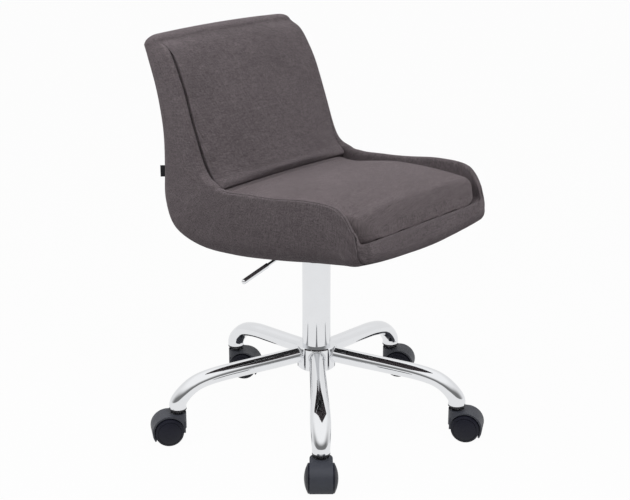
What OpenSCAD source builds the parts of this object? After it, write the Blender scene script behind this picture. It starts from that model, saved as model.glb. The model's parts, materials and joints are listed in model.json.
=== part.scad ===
// Adjustable swivel stool: an upholstered bucket seat on a gas lift, over a five-arm castered base.
// +Z is up, the sitter faces -Y, and the origin lies on the floor under the column. Millimetres.

/* [Base] */
// Radius of the circle that the caster stems stand on
base_radius = 257; // [230:1:290]
// Turn of the whole base about the column, degrees
base_turn = 6.25; // [-36:0.25:36]
// Outer diameter of the hub ring
hub_d = 68; // [62:1:76]
// Height of the hub's lower face above the floor
hub_z = 106; // [100:1:112]
// Height of the hub ring
hub_h = 42; // [36:1:48]
// Height of an arm's middle line where it leaves the hub
arm_root_z = 131.5; // [126:0.5:134]
// Height of the open end of an arm above the floor
arm_end_z = 63; // [60:0.5:66]
// Diameter of an arm's round open end
arm_end_d = 30; // [28:0.5:32]
// Depth of an arm's tube at the hub
arm_root_h = 28; // [24:0.5:30]
// Width of an arm's tube at the hub
arm_root_w = 28; // [24:0.5:30]
// Width of an arm's tube at the outside of its bend
arm_bend_w = 35; // [30:0.5:38]
// Depth of an arm's tube at its bend
arm_bend_h = 26; // [23:0.5:28]
// Wall of the arm tubes
arm_wall = 1.8; // [1.5:0.1:2.2]

/* [Casters] */
// Diameter of a wheel
wheel_d = 50; // [46:1:52]
// Width over both domed wheel faces
caster_width = 56; // [53:1:60]
// Gap between the two wheels
wheel_gap = 27; // [25:1:29]
// Width of a wheel's running tread
tread_w = 8; // [6:0.5:10]
// Distance from the stem to the axle, the trail
caster_trail = 18; // [15:0.5:22]
// Width of the hood over the treads
hood_width = 38; // [36:1:42]
// Wall of the hood over the treads
hood_wall = 3; // [2.5:0.1:3.5]
// Gap between a tread and the hood
hood_gap = 1.5; // [1:0.1:2.5]
// Diameter of the caster stem
stem_d = 11; // [9:0.5:12]
// Length of the stem inside the arm
stem_grip = 16; // [12:0.5:17]
// Diameter of the axle
axle_d = 8; // [6:0.5:9]
// Diameter of a wheel's inner hub
wheel_hub_d = 17; // [15:0.5:20]
// Number of stiffening ribs inside a wheel
wheel_ribs = 8; // [5:1:12]
// Bearings of the five casters, anticlockwise from +X, degrees
caster_turns = [-60, -60, 143, -139, -62]; // [-180:1:180]

/* [Gas lift] */
// Outer diameter of the column tube
column_d = 50; // [46:1:52]
// Wall of the column tube
column_wall = 2.5; // [2:0.1:3]
// Height of the column tube's top edge above the floor
column_top_z = 308; // [300:1:309]
// Travel of the gas lift
lift_travel = 120; // [80:1:125]
// Outer diameter of the pressure cylinder
cylinder_d = 28; // [26:0.5:30]
// Wall of the pressure cylinder
cylinder_wall = 2; // [1.5:0.1:2.5]
// Diameter of the piston rod
rod_d = 10; // [8:0.5:11]
// Length of the pressure cylinder with its neck
cylinder_l = 186.5; // [165:0.5:200]
// Length of the cylinder's tapered neck
taper_h = 24.5; // [20:0.5:24.5]
// Loss of diameter over the tapered neck
taper_drop = 1.4; // [0.8:0.1:2]
// Diameter of the release pin in the cylinder's top
pin_d = 8; // [6:0.5:9]
// Height that the release pin stands over the cylinder's top
pin_rise = 5.2; // [4.5:0.1:8]
// Length of the guide bush inside the column tube
bush_h = 104; // [80:1:106]
// Thickness of the bush's collar on the column
bush_collar = 2.5; // [2:0.5:3]
// Height of the piston
piston_h = 12; // [8:0.5:14]
// Diameter of the balls of the thrust bearing
ball_d = 4; // [3:0.5:5]
// Number of balls in the thrust bearing
ball_count = 10; // [6:1:11]

/* [Seat plate] */
// Thickness of the seat plate
plate_t = 3; // [2:0.5:4]
// Length of a side of the seat plate
plate_size = 156; // [150:1:165]
// Spacing of the four bolts, both ways
bolt_pitch = 125; // [110:1:135]
// Diameter of the bolts
bolt_d = 6; // [5:0.5:8]
// Width of the plate's pressed box, front to back
box_w = 52; // [48:1:60]
// Length of the plate's pressed box, side to side
box_l = 104; // [96:1:120]
// Depth of the plate's pressed box
box_h = 28; // [26:1:30]
// Outer diameter of the taper socket
socket_d = 40; // [36:1:44]
// Gap between the column's collar and the taper socket, seat at its lowest
socket_gap = 1.5; // [1:0.5:4]
// Height of the taper socket's top over the lower face of the box
socket_rise = 4.5; // [3.5:0.5:6]
// Thickness of the plywood seat board
board_t = 11; // [9:0.5:12]
// Width of the seat board
board_w = 276; // [240:1:284]
// Depth of the seat board, front to back
board_depth = 250; // [220:1:256]
// Thickness of the shell's floor between the seat plate and the board
floor_t = 13; // [11:0.5:15]

/* [Lever] */
// Diameter of the lever's rod
lever_d = 6; // [5:0.5:7]
// Distance from the column's axis to the lever's pivot
pivot_reach = 36; // [32:1:40]
// Distance from the column's axis to the lever's bend
bend_reach = 56; // [55:1:60]
// Distance from the column's axis to the tip of the handle
lever_reach = 188; // [170:1:200]
// Downward slope of the lever outside its bend, degrees
lever_slope = 13.1; // [8:0.1:14]
// Radius of the lever's bend, to the rod's middle
lever_bend = 40; // [20:1:60]
// Diameter of the handle
handle_d = 9; // [8:0.5:12]
// Length of the handle
handle_l = 64; // [50:1:75]
// Diameter of the pivot pin
pivot_d = 5; // [4:0.5:6]

/* [Seat] */
// Overall width of the shell
shell_width = 370; // [350:1:390]
// Depth of the shell's outside, front lip to back
shell_depth = 496; // [470:1:510]
// Rise of the shell's outside, lowest point of the floor to the last upright section
shell_rise = 331; // [315:1:350]
// Height of the seat plate's upper face over the lowest point of the shell
shell_drop = 23; // [20:1:26]
// Radius of the roll over the top of the back
top_roll = 15; // [10:0.5:20]
// Extra height of the middle of the top edge over its corners
top_crown = 7; // [0:0.5:10]
// Rounding of the top corners of the back, seen from the front
top_corner = 18; // [6:0.5:22]
// Gap between the cushions and the shell
cushion_gap = 0.4; // [0.3:0.1:0.8]
// Crown of the seat cushion over its edges
cushion_crown = 7; // [3:0.5:10]
// Edge radius of the seat cushion
cushion_edge = 14; // [8:0.5:18]
// Edge radius of the back pad
pad_edge = 5; // [3:0.5:10]
// Rounding of the cushions along the seam between seat and back
seam_round = 12; // [5:0.5:14]
// Height that the back pad's side edges stand over the wings
pad_stand = 13; // [8:0.5:16]
// Height of the fabric tab
tab_h = 20; // [15:1:26]
// Length of the fabric tab outside its seam
tab_l = 8; // [6:1:14]
// Thickness of the fabric tab
tab_t = 1.2; // [0.8:0.1:2]
// Thickness of the cloth under the seat
cloth_t = 0.8; // [0.6:0.1:1.5]
// Width of the cloth under the seat
cloth_w = 250; // [200:1:270]
// Depth of the cloth under the seat, front to back
cloth_depth = 190; // [170:1:200]
// Distance that the cloth's middle lies behind the column
cloth_back = 15; // [5:1:20]

/* [Clearances] */
// Radial running clearance of pins, stems and bores
run_gap = 0.05; // [0.03:0.01:0.09]
// Gap between parts that pass or face each other
face_gap = 0.3; // [0.2:0.05:0.5]

/* [Hidden] */
$fn = 48;
CORNERS = [[-1, -1], [1, -1], [1, 1], [-1, 1]];

// ---------- Lofts ----------

// One step of a smooth curve that runs through b and c, with a before them and d after them
function smooth(a, b, c, d, t) =
    0.5 * (2 * b + (c - a) * t + (2 * a - 5 * b + 4 * c - d) * t * t + (3 * b - 3 * c + d - a) * t * t * t);

// Row of a table at place u, smoothly between its rows
function row(table, u) =
    let (last = len(table) - 1, i = min(floor(u), last - 1), b = table[i], c = table[i + 1])
    smooth(i == 0 ? 2 * b - c : table[i - 1], b, c, i == last - 1 ? 2 * c - b : table[i + 2], u - i);

// Solid through closed rings of equally many points, its ends capped by strips between paired points
module loft(rings) {
    n = len(rings[0]);
    last = (len(rings) - 1) * n;
    pairs = n / 2 - 1;
    sides = [for (k = [0:len(rings) - 2]) for (i = [0:n - 1])
        let (a = k * n + i, b = k * n + (i + 1) % n)
        each [[a, b, b + n], [a, b + n, a + n]]];
    ends = [for (i = [0:pairs - 1])
        let (p = i, q = i + 1, r = n - 2 - i, s = n - 1 - i)
        each concat([[p, s, r]], q == r ? [] : [[p, r, q]],
                    [[last + p, last + r, last + s]], q == r ? [] : [[last + p, last + q, last + r]])];
    polyhedron([for (ring = rings) each ring], concat(sides, ends));
}

// ---------- Base ----------

// Middle line and tube of an arm: share of the reach, share of the drop, width and depth between
// the values at the hub (0), the bend (1) and the round end (2)
ARM_LINE = [[0.117, 1.000, 0.0], [0.311, 0.920, 0.1], [0.545, 0.832, 0.3], [0.704, 0.766, 0.6],
            [0.817, 0.679, 0.9], [0.887, 0.569, 1.0], [0.945, 0.400, 1.2], [0.985, 0.225, 1.6],
            [1.000, 0.100, 2.0], [1.000, 0.000, 2.0]];
arm_drop = arm_root_z - arm_end_z;
function between(k, hub, bend, end) = k < 1 ? hub + (bend - hub) * k : bend + (end - bend) * (k - 1);
function arm_spot(u) = let (p = row(ARM_LINE, u)) [p[0] * base_radius, arm_end_z + p[1] * arm_drop, p[2]];

// Ring of the arm at place u, thinner than its outside by inset
function arm_ring(u, inset, sides) =
    let (p = arm_spot(u), last = len(ARM_LINE) - 1, a = arm_spot(max(u - 0.05, 0)),
         b = arm_spot(min(u + 0.05, last)),
         d = u > last - 1 ? [0, -1] : [b[0] - a[0], b[1] - a[1]] / norm([b[0] - a[0], b[1] - a[1]]),
         w = between(p[2], arm_root_w, arm_bend_w, arm_end_d) / 2 - inset,
         h = between(p[2], arm_root_h, arm_bend_h, arm_end_d) / 2 - inset)
    [for (i = [0:sides - 1]) let (c = 360 * i / sides)
        [p[0] - d[1] * h * cos(c), w * sin(c), p[1] + d[0] * h * cos(c)]];

function arm_angle(i) = base_turn + 72 * (i - 1);
plug_bore_h = 9;
plug_r = arm_end_d / 2 - arm_wall + 0.2;

module base_arm(i) color("silver") {
    steps = 2 * (len(ARM_LINE) - 1);
    rotate([0, 0, arm_angle(i)]) difference() {
        loft([for (k = [0:steps]) arm_ring(k / 2, 0, 20)]);
        loft([for (k = [0:steps - 1]) arm_ring(k / 2, arm_wall, 12)]);
        cylinder(d = hub_d, h = 2 * arm_root_z);
        translate([base_radius, 0, arm_end_z - 1]) cylinder(r = plug_r, h = plug_bore_h + 1);
    }
}

hub_edge = 2;

module base_hub() color("silver") rotate_extrude($fn = 96) polygon([
    [column_d / 2, hub_z], [hub_d / 2 - hub_edge, hub_z], [hub_d / 2, hub_z + hub_edge],
    [hub_d / 2, hub_z + hub_h - hub_edge], [hub_d / 2 - hub_edge, hub_z + hub_h],
    [column_d / 2, hub_z + hub_h]]);

plug_flange = 3;
plug_edge = 0.5;
sleeve_t = 2;
plug_z = arm_end_z - plug_flange;
plug_top = plug_z + stem_grip + 2;
plug_rim_z = arm_end_z + plug_bore_h - 1;
sleeve_r = stem_d / 2 + sleeve_t;

module at_arm(i) rotate([0, 0, arm_angle(i)]) translate([base_radius, 0, 0]) children();

module socket_plug(i) color("dimgray") at_arm(i) rotate_extrude() polygon([
    [stem_d / 2 + run_gap, plug_z], [arm_end_d / 2 - plug_edge, plug_z], [arm_end_d / 2, plug_z + plug_edge],
    [arm_end_d / 2, arm_end_z], [plug_r, arm_end_z], [plug_r, plug_rim_z],
    [sleeve_r, plug_rim_z], [sleeve_r, plug_top], [stem_d / 2 + run_gap, plug_top]]);

// ---------- Casters ----------

axle_z = wheel_d / 2;
tread_r = wheel_d / 2;
cavity_r = tread_r + hood_gap;
hood_r = cavity_r + hood_wall;
hood_top = axle_z + hood_r;
web_w = wheel_gap - 2 * face_gap;
stem_side = 14;
tip_drop = 32;
well_r = 13;
well_depth = 3;
collar_r = 8;
collar_top = plug_z - face_gap;
hood_front_r = hood_width / 2;
web_boss = 7;
web_in = 3;
web_low = 6;
web_h = 20;
past = 80;

// Stands a part drawn at a stem's axis on arm i, trailing along its own +X
module at_caster(i) at_arm(i) rotate([0, 0, caster_turns[i - 1] - arm_angle(i)]) children();

// Turns a part drawn about +Z so that it lies along the axle
module on_axle() translate([caster_trail, 0, axle_z]) rotate([-90, 0, 0]) children();

// Extrudes a side view, drawn with the axle at its origin and up as +Y, over a width across the caster
module across(width) translate([caster_trail, width / 2, axle_z]) rotate([90, 0, 0])
    linear_extrude(width) children();

module caster_hood(i) color([0.16, 0.16, 0.17]) at_caster(i) difference() {
    union() {
        intersection() {
            across(hood_width + 2) difference() {
                union() {
                    circle(hood_r, $fn = 96);
                    translate([-caster_trail - stem_side, 0]) square([caster_trail + stem_side, hood_r]);
                }
                polygon([[0, 0], [-past, 0], [-past, -past], [past, -past],
                         past * [cos(tip_drop), -sin(tip_drop)]]);
            }
            linear_extrude(2 * hood_top) union() {
                translate([hood_front_r - stem_side, 0]) circle(hood_front_r, $fn = 96);
                translate([hood_front_r - stem_side, -hood_width / 2]) square([past, hood_width]);
            }
        }
        across(web_w) union() {
            circle(axle_d / 2 + web_boss);
            translate([-caster_trail - stem_side + web_in, -web_low])
                square([caster_trail + stem_side - web_in, web_h]);
        }
    }
    for (side = [-1, 1]) on_axle() translate([0, 0, side > 0 ? web_w / 2 : -web_w / 2 - 40])
        cylinder(r = cavity_r, h = 40, $fn = 96);
    translate([0, 0, hood_top - well_depth]) cylinder(r = well_r, h = well_depth + 1);
    translate([0, 0, axle_z]) cylinder(d = stem_d, h = hood_top);
    on_axle() translate([0, 0, -caster_width]) cylinder(d = axle_d, h = 2 * caster_width);
}

collar_edge = 0.8;
snap_in = 1;
stem_tip = 2.5;

// Stem pressed into the hood, with its collar in the hood's well and a snap groove near its top
module caster_stem(i) color("gray") at_caster(i) {
    top = plug_z + stem_grip;
    rotate_extrude() polygon([
        [0, axle_z], [stem_d / 2, axle_z],
        [stem_d / 2, hood_top - well_depth], [collar_r, hood_top - well_depth],
        [collar_r, collar_top - collar_edge], [collar_r - collar_edge, collar_top], [stem_d / 2, collar_top],
        [stem_d / 2, top - stem_tip - 3.5 * snap_in], [stem_d / 2 - snap_in, top - stem_tip - 2.5 * snap_in],
        [stem_d / 2 - snap_in, top - stem_tip - snap_in], [stem_d / 2, top - stem_tip],
        [stem_d / 2 - 1.5 * snap_in, top], [0, top]]);
}

wheel_in = web_w / 2 + face_gap;
wheel_out = caster_width / 2;
axle_l = 2 * (wheel_out - 6);
tread_edge = 0.8;
tread_t = 4.5;
rib_t = 1.6;
rib_in = 1.5;

module caster_axle(i) color("gray") at_caster(i) on_axle() translate([0, 0, -axle_l / 2])
    cylinder(d = axle_d, h = axle_l);

// One wheel, open on the inside with ribs round its hub and closed by a domed face on the outside
module wheel(i, side) color([0.09, 0.09, 0.10]) at_caster(i) on_axle() mirror([0, 0, side > 0 ? 0 : 1])
    difference() {
        rotate_extrude($fn = 96) difference() {
            union() {
                translate([0, wheel_in]) square([tread_r - tread_edge, tread_w]);
                translate([0, wheel_in + tread_edge]) square([tread_r, tread_w - 2 * tread_edge]);
                dome_profile();
            }
            translate([-wheel_d, 0]) square([wheel_d, wheel_d]);
            translate([groove_r, wheel_out - groove_in]) square([1, 10]);
        }
        difference() {
            translate([0, 0, wheel_in - 1]) cylinder(r = tread_r - tread_t, h = tread_w + 1, $fn = 96);
            cylinder(d = wheel_hub_d, h = wheel_out);
            for (k = [0:wheel_ribs - 1]) rotate([0, 0, 360 * k / wheel_ribs])
                translate([wheel_hub_d / 2 - 1, -rib_t / 2, wheel_in + rib_in])
                    cube([tread_r, rib_t, wheel_out]);
        }
        cylinder(d = axle_d + 2 * run_gap, h = axle_l / 2 + face_gap);
    }

dome_h = wheel_out - wheel_in - tread_w;
dome_r = (tread_r * tread_r + dome_h * dome_h) / (2 * dome_h);
groove_r = tread_r - 5;
groove_in = dome_r - sqrt(dome_r * dome_r - groove_r * groove_r) + 1.2;

// Half outline of the domed face, a flat arc from the tread's edge to the middle
module dome_profile() intersection() {
    translate([0, wheel_out - dome_r]) circle(dome_r, $fn = 180);
    translate([0, wheel_in + tread_w - tread_edge]) square([tread_r - tread_edge / 2, dome_h + 1]);
}

// ---------- Gas lift ----------

// The stack over the column: taper socket, cylinder, release pin, lever, box, plate and shell
socket_z = column_top_z + bush_collar + socket_gap;
cylinder_top_z = socket_z + taper_h;
cylinder_z = cylinder_top_z - cylinder_l;
pin_top_z = cylinder_top_z + pin_rise;
lever_z = pin_top_z + face_gap + lever_d / 2;
socket_top_z = cylinder_top_z + 1;
box_z = socket_top_z - socket_rise;
plate_z = box_z + box_h;
plate_top_z = plate_z + plate_t;
shell_z = plate_top_z - shell_drop;

column_r = column_d / 2;
bore_r = column_r - column_wall;
collar_rim = column_r - 0.5;
foot_t = 5;
foot_z = hub_z + 3;
washer_t = 2;
washer_r = rod_d / 2 + 8;
balls_z = foot_z + foot_t + washer_t;
shoulder_z = balls_z + ball_d + washer_t;
shoulder_h = 5;
rod_guide_h = 12;
piston_z = cylinder_z + lift_travel + rod_guide_h + 3;
cylinder_r = cylinder_d / 2;
cylinder_bore = cylinder_r - cylinder_wall;
neck_wall = 8;
clip_t = 1.2;
clip_w = 3;
clip_groove = 0.8;
rod_edge = 0.8;
rod_tail = 3;
shoulder_w = 3;
bush_edge = 1;
ring_h = 3;
ring_in = 2;
clip_z = foot_z - face_gap - clip_t;

// Outer tube with a closed foot that the piston rod stands on
module column_tube() color("silver") rotate_extrude($fn = 96) polygon([
    [rod_d / 2 + run_gap, foot_z], [bore_r, foot_z], [bore_r, hub_z], [column_r, hub_z],
    [column_r, column_top_z], [bore_r, column_top_z], [bore_r, foot_z + foot_t],
    [rod_d / 2 + run_gap, foot_z + foot_t]]);

module guide_bush() color([0.12, 0.12, 0.12]) rotate_extrude($fn = 96) polygon([
    [cylinder_r + run_gap, column_top_z - bush_h], [bore_r, column_top_z - bush_h],
    [bore_r, column_top_z], [collar_rim, column_top_z], [collar_rim, column_top_z + bush_collar - bush_edge],
    [collar_rim - bush_edge, column_top_z + bush_collar],
    [cylinder_r + run_gap, column_top_z + bush_collar]]);

module bearing_washers() color("silver") for (z = [foot_z + foot_t, balls_z + ball_d])
    translate([0, 0, z]) difference() {
        cylinder(r = washer_r, h = washer_t);
        translate([0, 0, -1]) cylinder(r = rod_d / 2 + run_gap, h = washer_t + 2);
    }

module bearing_balls() color("silver") for (k = [0:ball_count - 1]) rotate([0, 0, 360 * k / ball_count])
    translate([(washer_r + rod_d / 2) / 2, 0, balls_z + ball_d / 2]) sphere(d = ball_d);

// Rod with the shoulder that rests on the bearing and the groove for the clip under the foot
module piston_rod() color("gainsboro") rotate_extrude($fn = 64) polygon([
    [0, clip_z - rod_tail], [rod_d / 2 - rod_edge, clip_z - rod_tail],
    [rod_d / 2, clip_z - rod_tail + rod_edge], [rod_d / 2, clip_z],
    [rod_d / 2 - clip_groove, clip_z], [rod_d / 2 - clip_groove, clip_z + clip_t],
    [rod_d / 2, clip_z + clip_t],
    [rod_d / 2, shoulder_z], [rod_d / 2 + shoulder_w, shoulder_z],
    [rod_d / 2 + shoulder_w, shoulder_z + shoulder_h],
    [rod_d / 2, shoulder_z + shoulder_h], [rod_d / 2, piston_z], [rod_d / 2 - 1, piston_z],
    [rod_d / 2 - 1, piston_z + piston_h + 2], [0, piston_z + piston_h + 2]]);

module piston_head() color("gray") rotate_extrude($fn = 64) polygon([
    [rod_d / 2 - 1, piston_z], [cylinder_bore - run_gap, piston_z],
    [cylinder_bore - run_gap, piston_z + (piston_h - ring_h) / 2],
    [cylinder_bore - ring_in, piston_z + (piston_h - ring_h) / 2],
    [cylinder_bore - ring_in, piston_z + (piston_h + ring_h) / 2],
    [cylinder_bore - run_gap, piston_z + (piston_h + ring_h) / 2],
    [cylinder_bore - run_gap, piston_z + piston_h], [rod_d / 2 - 1, piston_z + piston_h]]);

// Open retaining ring in the rod's groove
module rod_clip() color("gray") translate([0, 0, clip_z]) difference() {
    cylinder(r = rod_d / 2 + clip_w, h = clip_t);
    translate([0, 0, -1]) cylinder(r = rod_d / 2 - clip_groove, h = clip_t + 2);
    translate([0, -clip_w / 2, -1]) cube([rod_d, clip_w, clip_t + 2]);
}

module lift_cylinder() color("silver") rotate_extrude($fn = 64) polygon([
    [cylinder_bore, cylinder_z], [cylinder_r, cylinder_z], [cylinder_r, cylinder_top_z - taper_h],
    [cylinder_r - taper_drop / 2, cylinder_top_z], [pin_d / 2 + run_gap, cylinder_top_z],
    [pin_d / 2 + run_gap, cylinder_top_z - neck_wall], [cylinder_bore, cylinder_top_z - neck_wall]]);

module rod_guide() color("black") translate([0, 0, cylinder_z]) difference() {
    cylinder(r = cylinder_bore, h = rod_guide_h);
    translate([0, 0, -1]) cylinder(r = rod_d / 2 + run_gap, h = rod_guide_h + 2);
}

module release_pin() color("gainsboro") rotate_extrude() polygon([
    [0, cylinder_top_z - neck_wall + 1], [pin_d / 2, cylinder_top_z - neck_wall + 1],
    [pin_d / 2, pin_top_z - 0.6], [pin_d / 2 - 0.6, pin_top_z], [0, pin_top_z]]);

// ---------- Seat plate and lever ----------

box_wall = 2.5;
window_w = 10;
window_l = 52;
slot_w = lever_d + 4;
slot_h = 2 * (pivot_reach + lever_d) * tan(8);
bolt_spots = [for (c = CORNERS) c * bolt_pitch / 2];

module rounded_plate(x, y, r, h) linear_extrude(h) union() {
    square([x - 2 * r, y], center = true);
    square([x, y - 2 * r], center = true);
    for (c = CORNERS) translate([c[0] * (x / 2 - r), c[1] * (y / 2 - r)]) circle(r);
}

// Pressed plate with a box under it that holds the taper socket and the lever's pivot
module seat_plate() color([0.1, 0.1, 0.1]) difference() {
    union() {
        translate([0, 0, plate_z]) rounded_plate(plate_size, plate_size, 14, plate_t);
        translate([-box_l / 2, -box_w / 2, box_z]) cube([box_l, box_w, box_h]);
    }
    translate([-box_l / 2 + box_wall, -box_w / 2 + box_wall, box_z + box_wall])
        cube([box_l - 2 * box_wall, box_w - 2 * box_wall, box_h - box_wall]);
    translate([0, 0, box_z - 1]) cylinder(d = socket_d, h = box_wall + 2);
    translate([-box_l, -slot_w / 2, lever_z - slot_h / 2]) cube([box_l, slot_w, slot_h]);
    translate([-pivot_reach, box_w, lever_z]) rotate([90, 0, 0]) cylinder(d = pivot_d, h = 2 * box_w);
    for (p = bolt_spots) translate([p[0], p[1], plate_z - 1]) cylinder(d = bolt_d + 1, h = plate_t + 2);
    for (s = [-1, 1]) translate([s * (plate_size + box_l) / 4, 0, plate_z - 1])
        rounded_plate(window_w, window_l, window_w / 3, plate_t + 2);
}

module taper_socket() color([0.1, 0.1, 0.1]) rotate_extrude($fn = 64) polygon([
    [cylinder_r, socket_z], [socket_d / 2 - 1, socket_z], [socket_d / 2, socket_z + 1],
    [socket_d / 2, socket_top_z], [cylinder_r - taper_drop / 2, socket_top_z],
    [cylinder_r - taper_drop / 2, cylinder_top_z], [cylinder_r, cylinder_top_z - taper_h]]);

board_z = plate_top_z + floor_t;
board_corner = 30;
board_top_z = board_z + board_t;
head_h = 4;
flange_t = 1.6;
nut_r = bolt_d / 2 + 1.5;

module mount_bolts() color("gray") for (p = bolt_spots) translate([p[0], p[1], 0]) {
    translate([0, 0, plate_z - head_h]) cylinder(d = bolt_d * 2, h = head_h, $fn = 6);
    translate([0, 0, plate_z]) cylinder(d = bolt_d, h = board_top_z - flange_t - plate_z);
}

module tee_nuts() color("silver") for (p = bolt_spots) translate([p[0], p[1], board_z]) difference() {
    union() {
        translate([0, 0, 2]) cylinder(r = nut_r, h = board_t - 2);
        translate([0, 0, board_t - flange_t]) cylinder(r = nut_r + 5, h = flange_t);
    }
    cylinder(d = bolt_d, h = board_t + 1);
}

module lever_pivot() color("gray") translate([-pivot_reach, box_w / 2 + 4, lever_z]) rotate([90, 0, 0]) {
    cylinder(d = pivot_d, h = box_w + 8);
    translate([0, 0, 1]) cylinder(d = pivot_d + 4, h = 3);
    translate([0, 0, box_w + 4]) cylinder(d = pivot_d + 4, h = 3);
}

// Drawn from the bend outwards, down along the lever's slope
module down_the_lever() translate([-bend_reach, 0, lever_z]) rotate([0, -90 - lever_slope, 0]) children();

slope_l = (lever_reach - bend_reach) / cos(lever_slope);
bend_cut = lever_bend * tan(lever_slope / 2);
// The rod is swollen a little round its bend, and its straight lengths run on into the bend
bend_swell = 0.2;
bend_lap = 1;
grip_in = 12;

// Rod with an eye at the pivot, a short arm over the release pin and a bend outside
module lever_rod() color("gainsboro") difference() {
    union() {
        translate([bend_cut - bend_reach - bend_lap, 0, lever_z]) rotate([0, 90, 0])
            cylinder(d = lever_d, h = bend_reach - bend_cut + bend_lap + pin_d / 2);
        translate([bend_cut - bend_reach, 0, lever_z - lever_bend]) rotate([90, -90, 0])
            rotate_extrude(angle = lever_slope) translate([lever_bend, 0]) circle(d = lever_d + bend_swell);
        down_the_lever() translate([0, 0, bend_cut - bend_lap])
            cylinder(d = lever_d, h = slope_l - handle_l + grip_in - bend_cut + bend_lap);
        translate([-pivot_reach, slot_w / 2 - 1, lever_z]) rotate([90, 0, 0])
            cylinder(d = pivot_d + 6, h = slot_w - 2);
    }
    translate([-pivot_reach, slot_w, lever_z]) rotate([90, 0, 0])
        cylinder(d = pivot_d + 2 * run_gap, h = 2 * slot_w);
}

module lever_handle() color("silver") down_the_lever() rotate_extrude() difference() {
    union() {
        translate([0, slope_l - handle_l + 1]) square([handle_d / 2, handle_l - 1 - handle_d / 2]);
        translate([0, slope_l - handle_l]) square([handle_d / 2 - 1, handle_l - handle_d / 2]);
        intersection() {
            translate([0, slope_l - handle_d / 2]) circle(d = handle_d);
            translate([0, slope_l - handle_d]) square([handle_d, handle_d]);
        }
    }
    translate([0, slope_l - handle_l - 1]) square([lever_d / 2, grip_in + 1]);
}

// ---------- Seat ----------

// Sections of the shell from the front lip to the top of the back. Each row holds: forward and up of
// the section's foot, its lean, half width, reach of the side walls, rise of the middle over the foot,
// corner radius, thickness of the walls, thickness of floor or back, reach of the cushion or back pad,
// share of pad_stand that the back pad's side edges stand over the walls
SECTIONS = [
    [ 238,  58, -16, 150,  26,  -4, 10,  6, 21,  36, 0],
    [ 234,  50, -13, 165,  42,  -6, 14,  8, 29,  56, 0],
    [ 227,  46, -10, 174,  57,  -7, 20, 10, 30,  74, 0],
    [ 213,  42,  -6, 177,  82,  -8, 28, 11, 29,  87, 0],
    [ 188,  37,  -3, 179, 100,  -6, 36, 11, 20,  94, 0],
    [ 120,  23,   5, 182, 114,   2, 44, 12, 27, 110, 0],
    [  30,   8,  16, 184, 125,  10, 48, 13, 44, 128, 0],
    [ -50,   0,  26, 185, 138,  12, 50, 15, 56, 140, 0],
    [-125,   2,  38, 185, 152,   6, 52, 16, 58, 152, -0.30],
    [-184,  25,  52, 185, 160,   0, 55, 18, 40, 161, -0.35],
    [-211,  71,  68, 184, 148,  -4, 56, 20, 28, 161, -0.70],
    [-215, 129,  82, 181, 112,  -8, 52, 18, 25, 141,  0.90],
    [-216, 199,  84, 178,  85, -10, 46, 12, 24, 110,  1.05],
    [-229, 266,  80, 176,  71, -10, 40, 12, 23,  90,  1.00],
    [-246, 312,  76, 172,  61, -10, 34, 11, 22,  78,  1.00],
    [-258, 331,  74, 166,  56, -10, 30, 11, 20,  69,  0.80]];
SEAM = 8.5;
LAST = len(SECTIONS) - 1;
across_scale = shell_width / 2 / max([for (s = SECTIONS) s[3]]);
along_scale = shell_depth / (SECTIONS[0][0] - SECTIONS[LAST][0]);
up_scale = shell_rise / SECTIONS[LAST][1];

// Place in space of a point at x across and n deep in section u, carried over the top roll by v degrees
function spot(u, x, n, v) =
    let (s = row(SECTIONS, u), lean = s[2], middle = s[9] / 2, half = s[3],
         m = middle + (n - middle) * (1 - 0.85 * (1 - cos(v))),
         lift = top_roll * sin(v) + top_crown * max(0, u - LAST + 1) * (1 - pow(x / half, 2)))
    [x * (across_scale - top_corner / half * (1 - cos(v))),
     -(s[0] * along_scale + m * sin(lean) - lift * cos(lean)),
     shell_z + s[1] * up_scale + m * cos(lean) + lift * sin(lean)];

// Right half of the shell's outer outline in section u, from the middle up to the rim
function outer_half(s) =
    let (w = s[3], h = s[4], mid = s[5], r = s[6], e = s[7] / 2, top = max(h - e, r))
    concat([for (i = [0:3]) [(w - r) * i / 4, mid * (1 - pow(i / 4, 2))]],
           [for (i = [0:4]) [w - r + r * sin(90 * i / 5), r * (1 - cos(90 * i / 5))]],
           [for (i = [0:1]) [w, r + (top - r) * i / 2]],
           [for (a = [0, 30, 60, 85]) [w - e + e * cos(a), top + (h - top) * sin(a)]]);

// Radius between the floor and the side wall inside the shell
function fillet(s) = min(14, (s[4] - s[8]) * 0.6);

// The matching inner outline, from the middle of the floor up to the rim
function inner_half(s) =
    let (w = s[3], h = s[4], r = s[6], e = s[7] / 2, top = max(h - e, r), f = s[8], q = w - 2 * e,
         c = fillet(s))
    concat([for (i = [0:3]) [(q - c) * i / 4, f]],
           [for (i = [0:4]) [q - c + c * sin(90 * i / 5), f + c * (1 - cos(90 * i / 5))]],
           [for (i = [0:1]) [q, min(f + c, top) + (top - min(f + c, top)) * i / 2]],
           [for (a = [0, 30, 60, 85]) [w - e - e * cos(a), top + (h - top) * sin(a)]]);

function both(half) = concat([for (i = [len(half) - 1:-1:1]) [-half[i][0], half[i][1]]], half);
function reversed(list) = [for (i = [len(list) - 1:-1:0]) list[i]];

// Places along the loft: half steps through the sections, then over the top roll
PLACES = concat([for (k = [0:2 * LAST]) [k / 2, 0]], [[LAST, 35], [LAST, 65], [LAST, 90]]);

function shell_ring(p) =
    let (s = row(SECTIONS, p[0]))
    [for (q = concat(both(outer_half(s)), reversed(both(inner_half(s))))) spot(p[0], q[0], q[1], p[1])];

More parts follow.
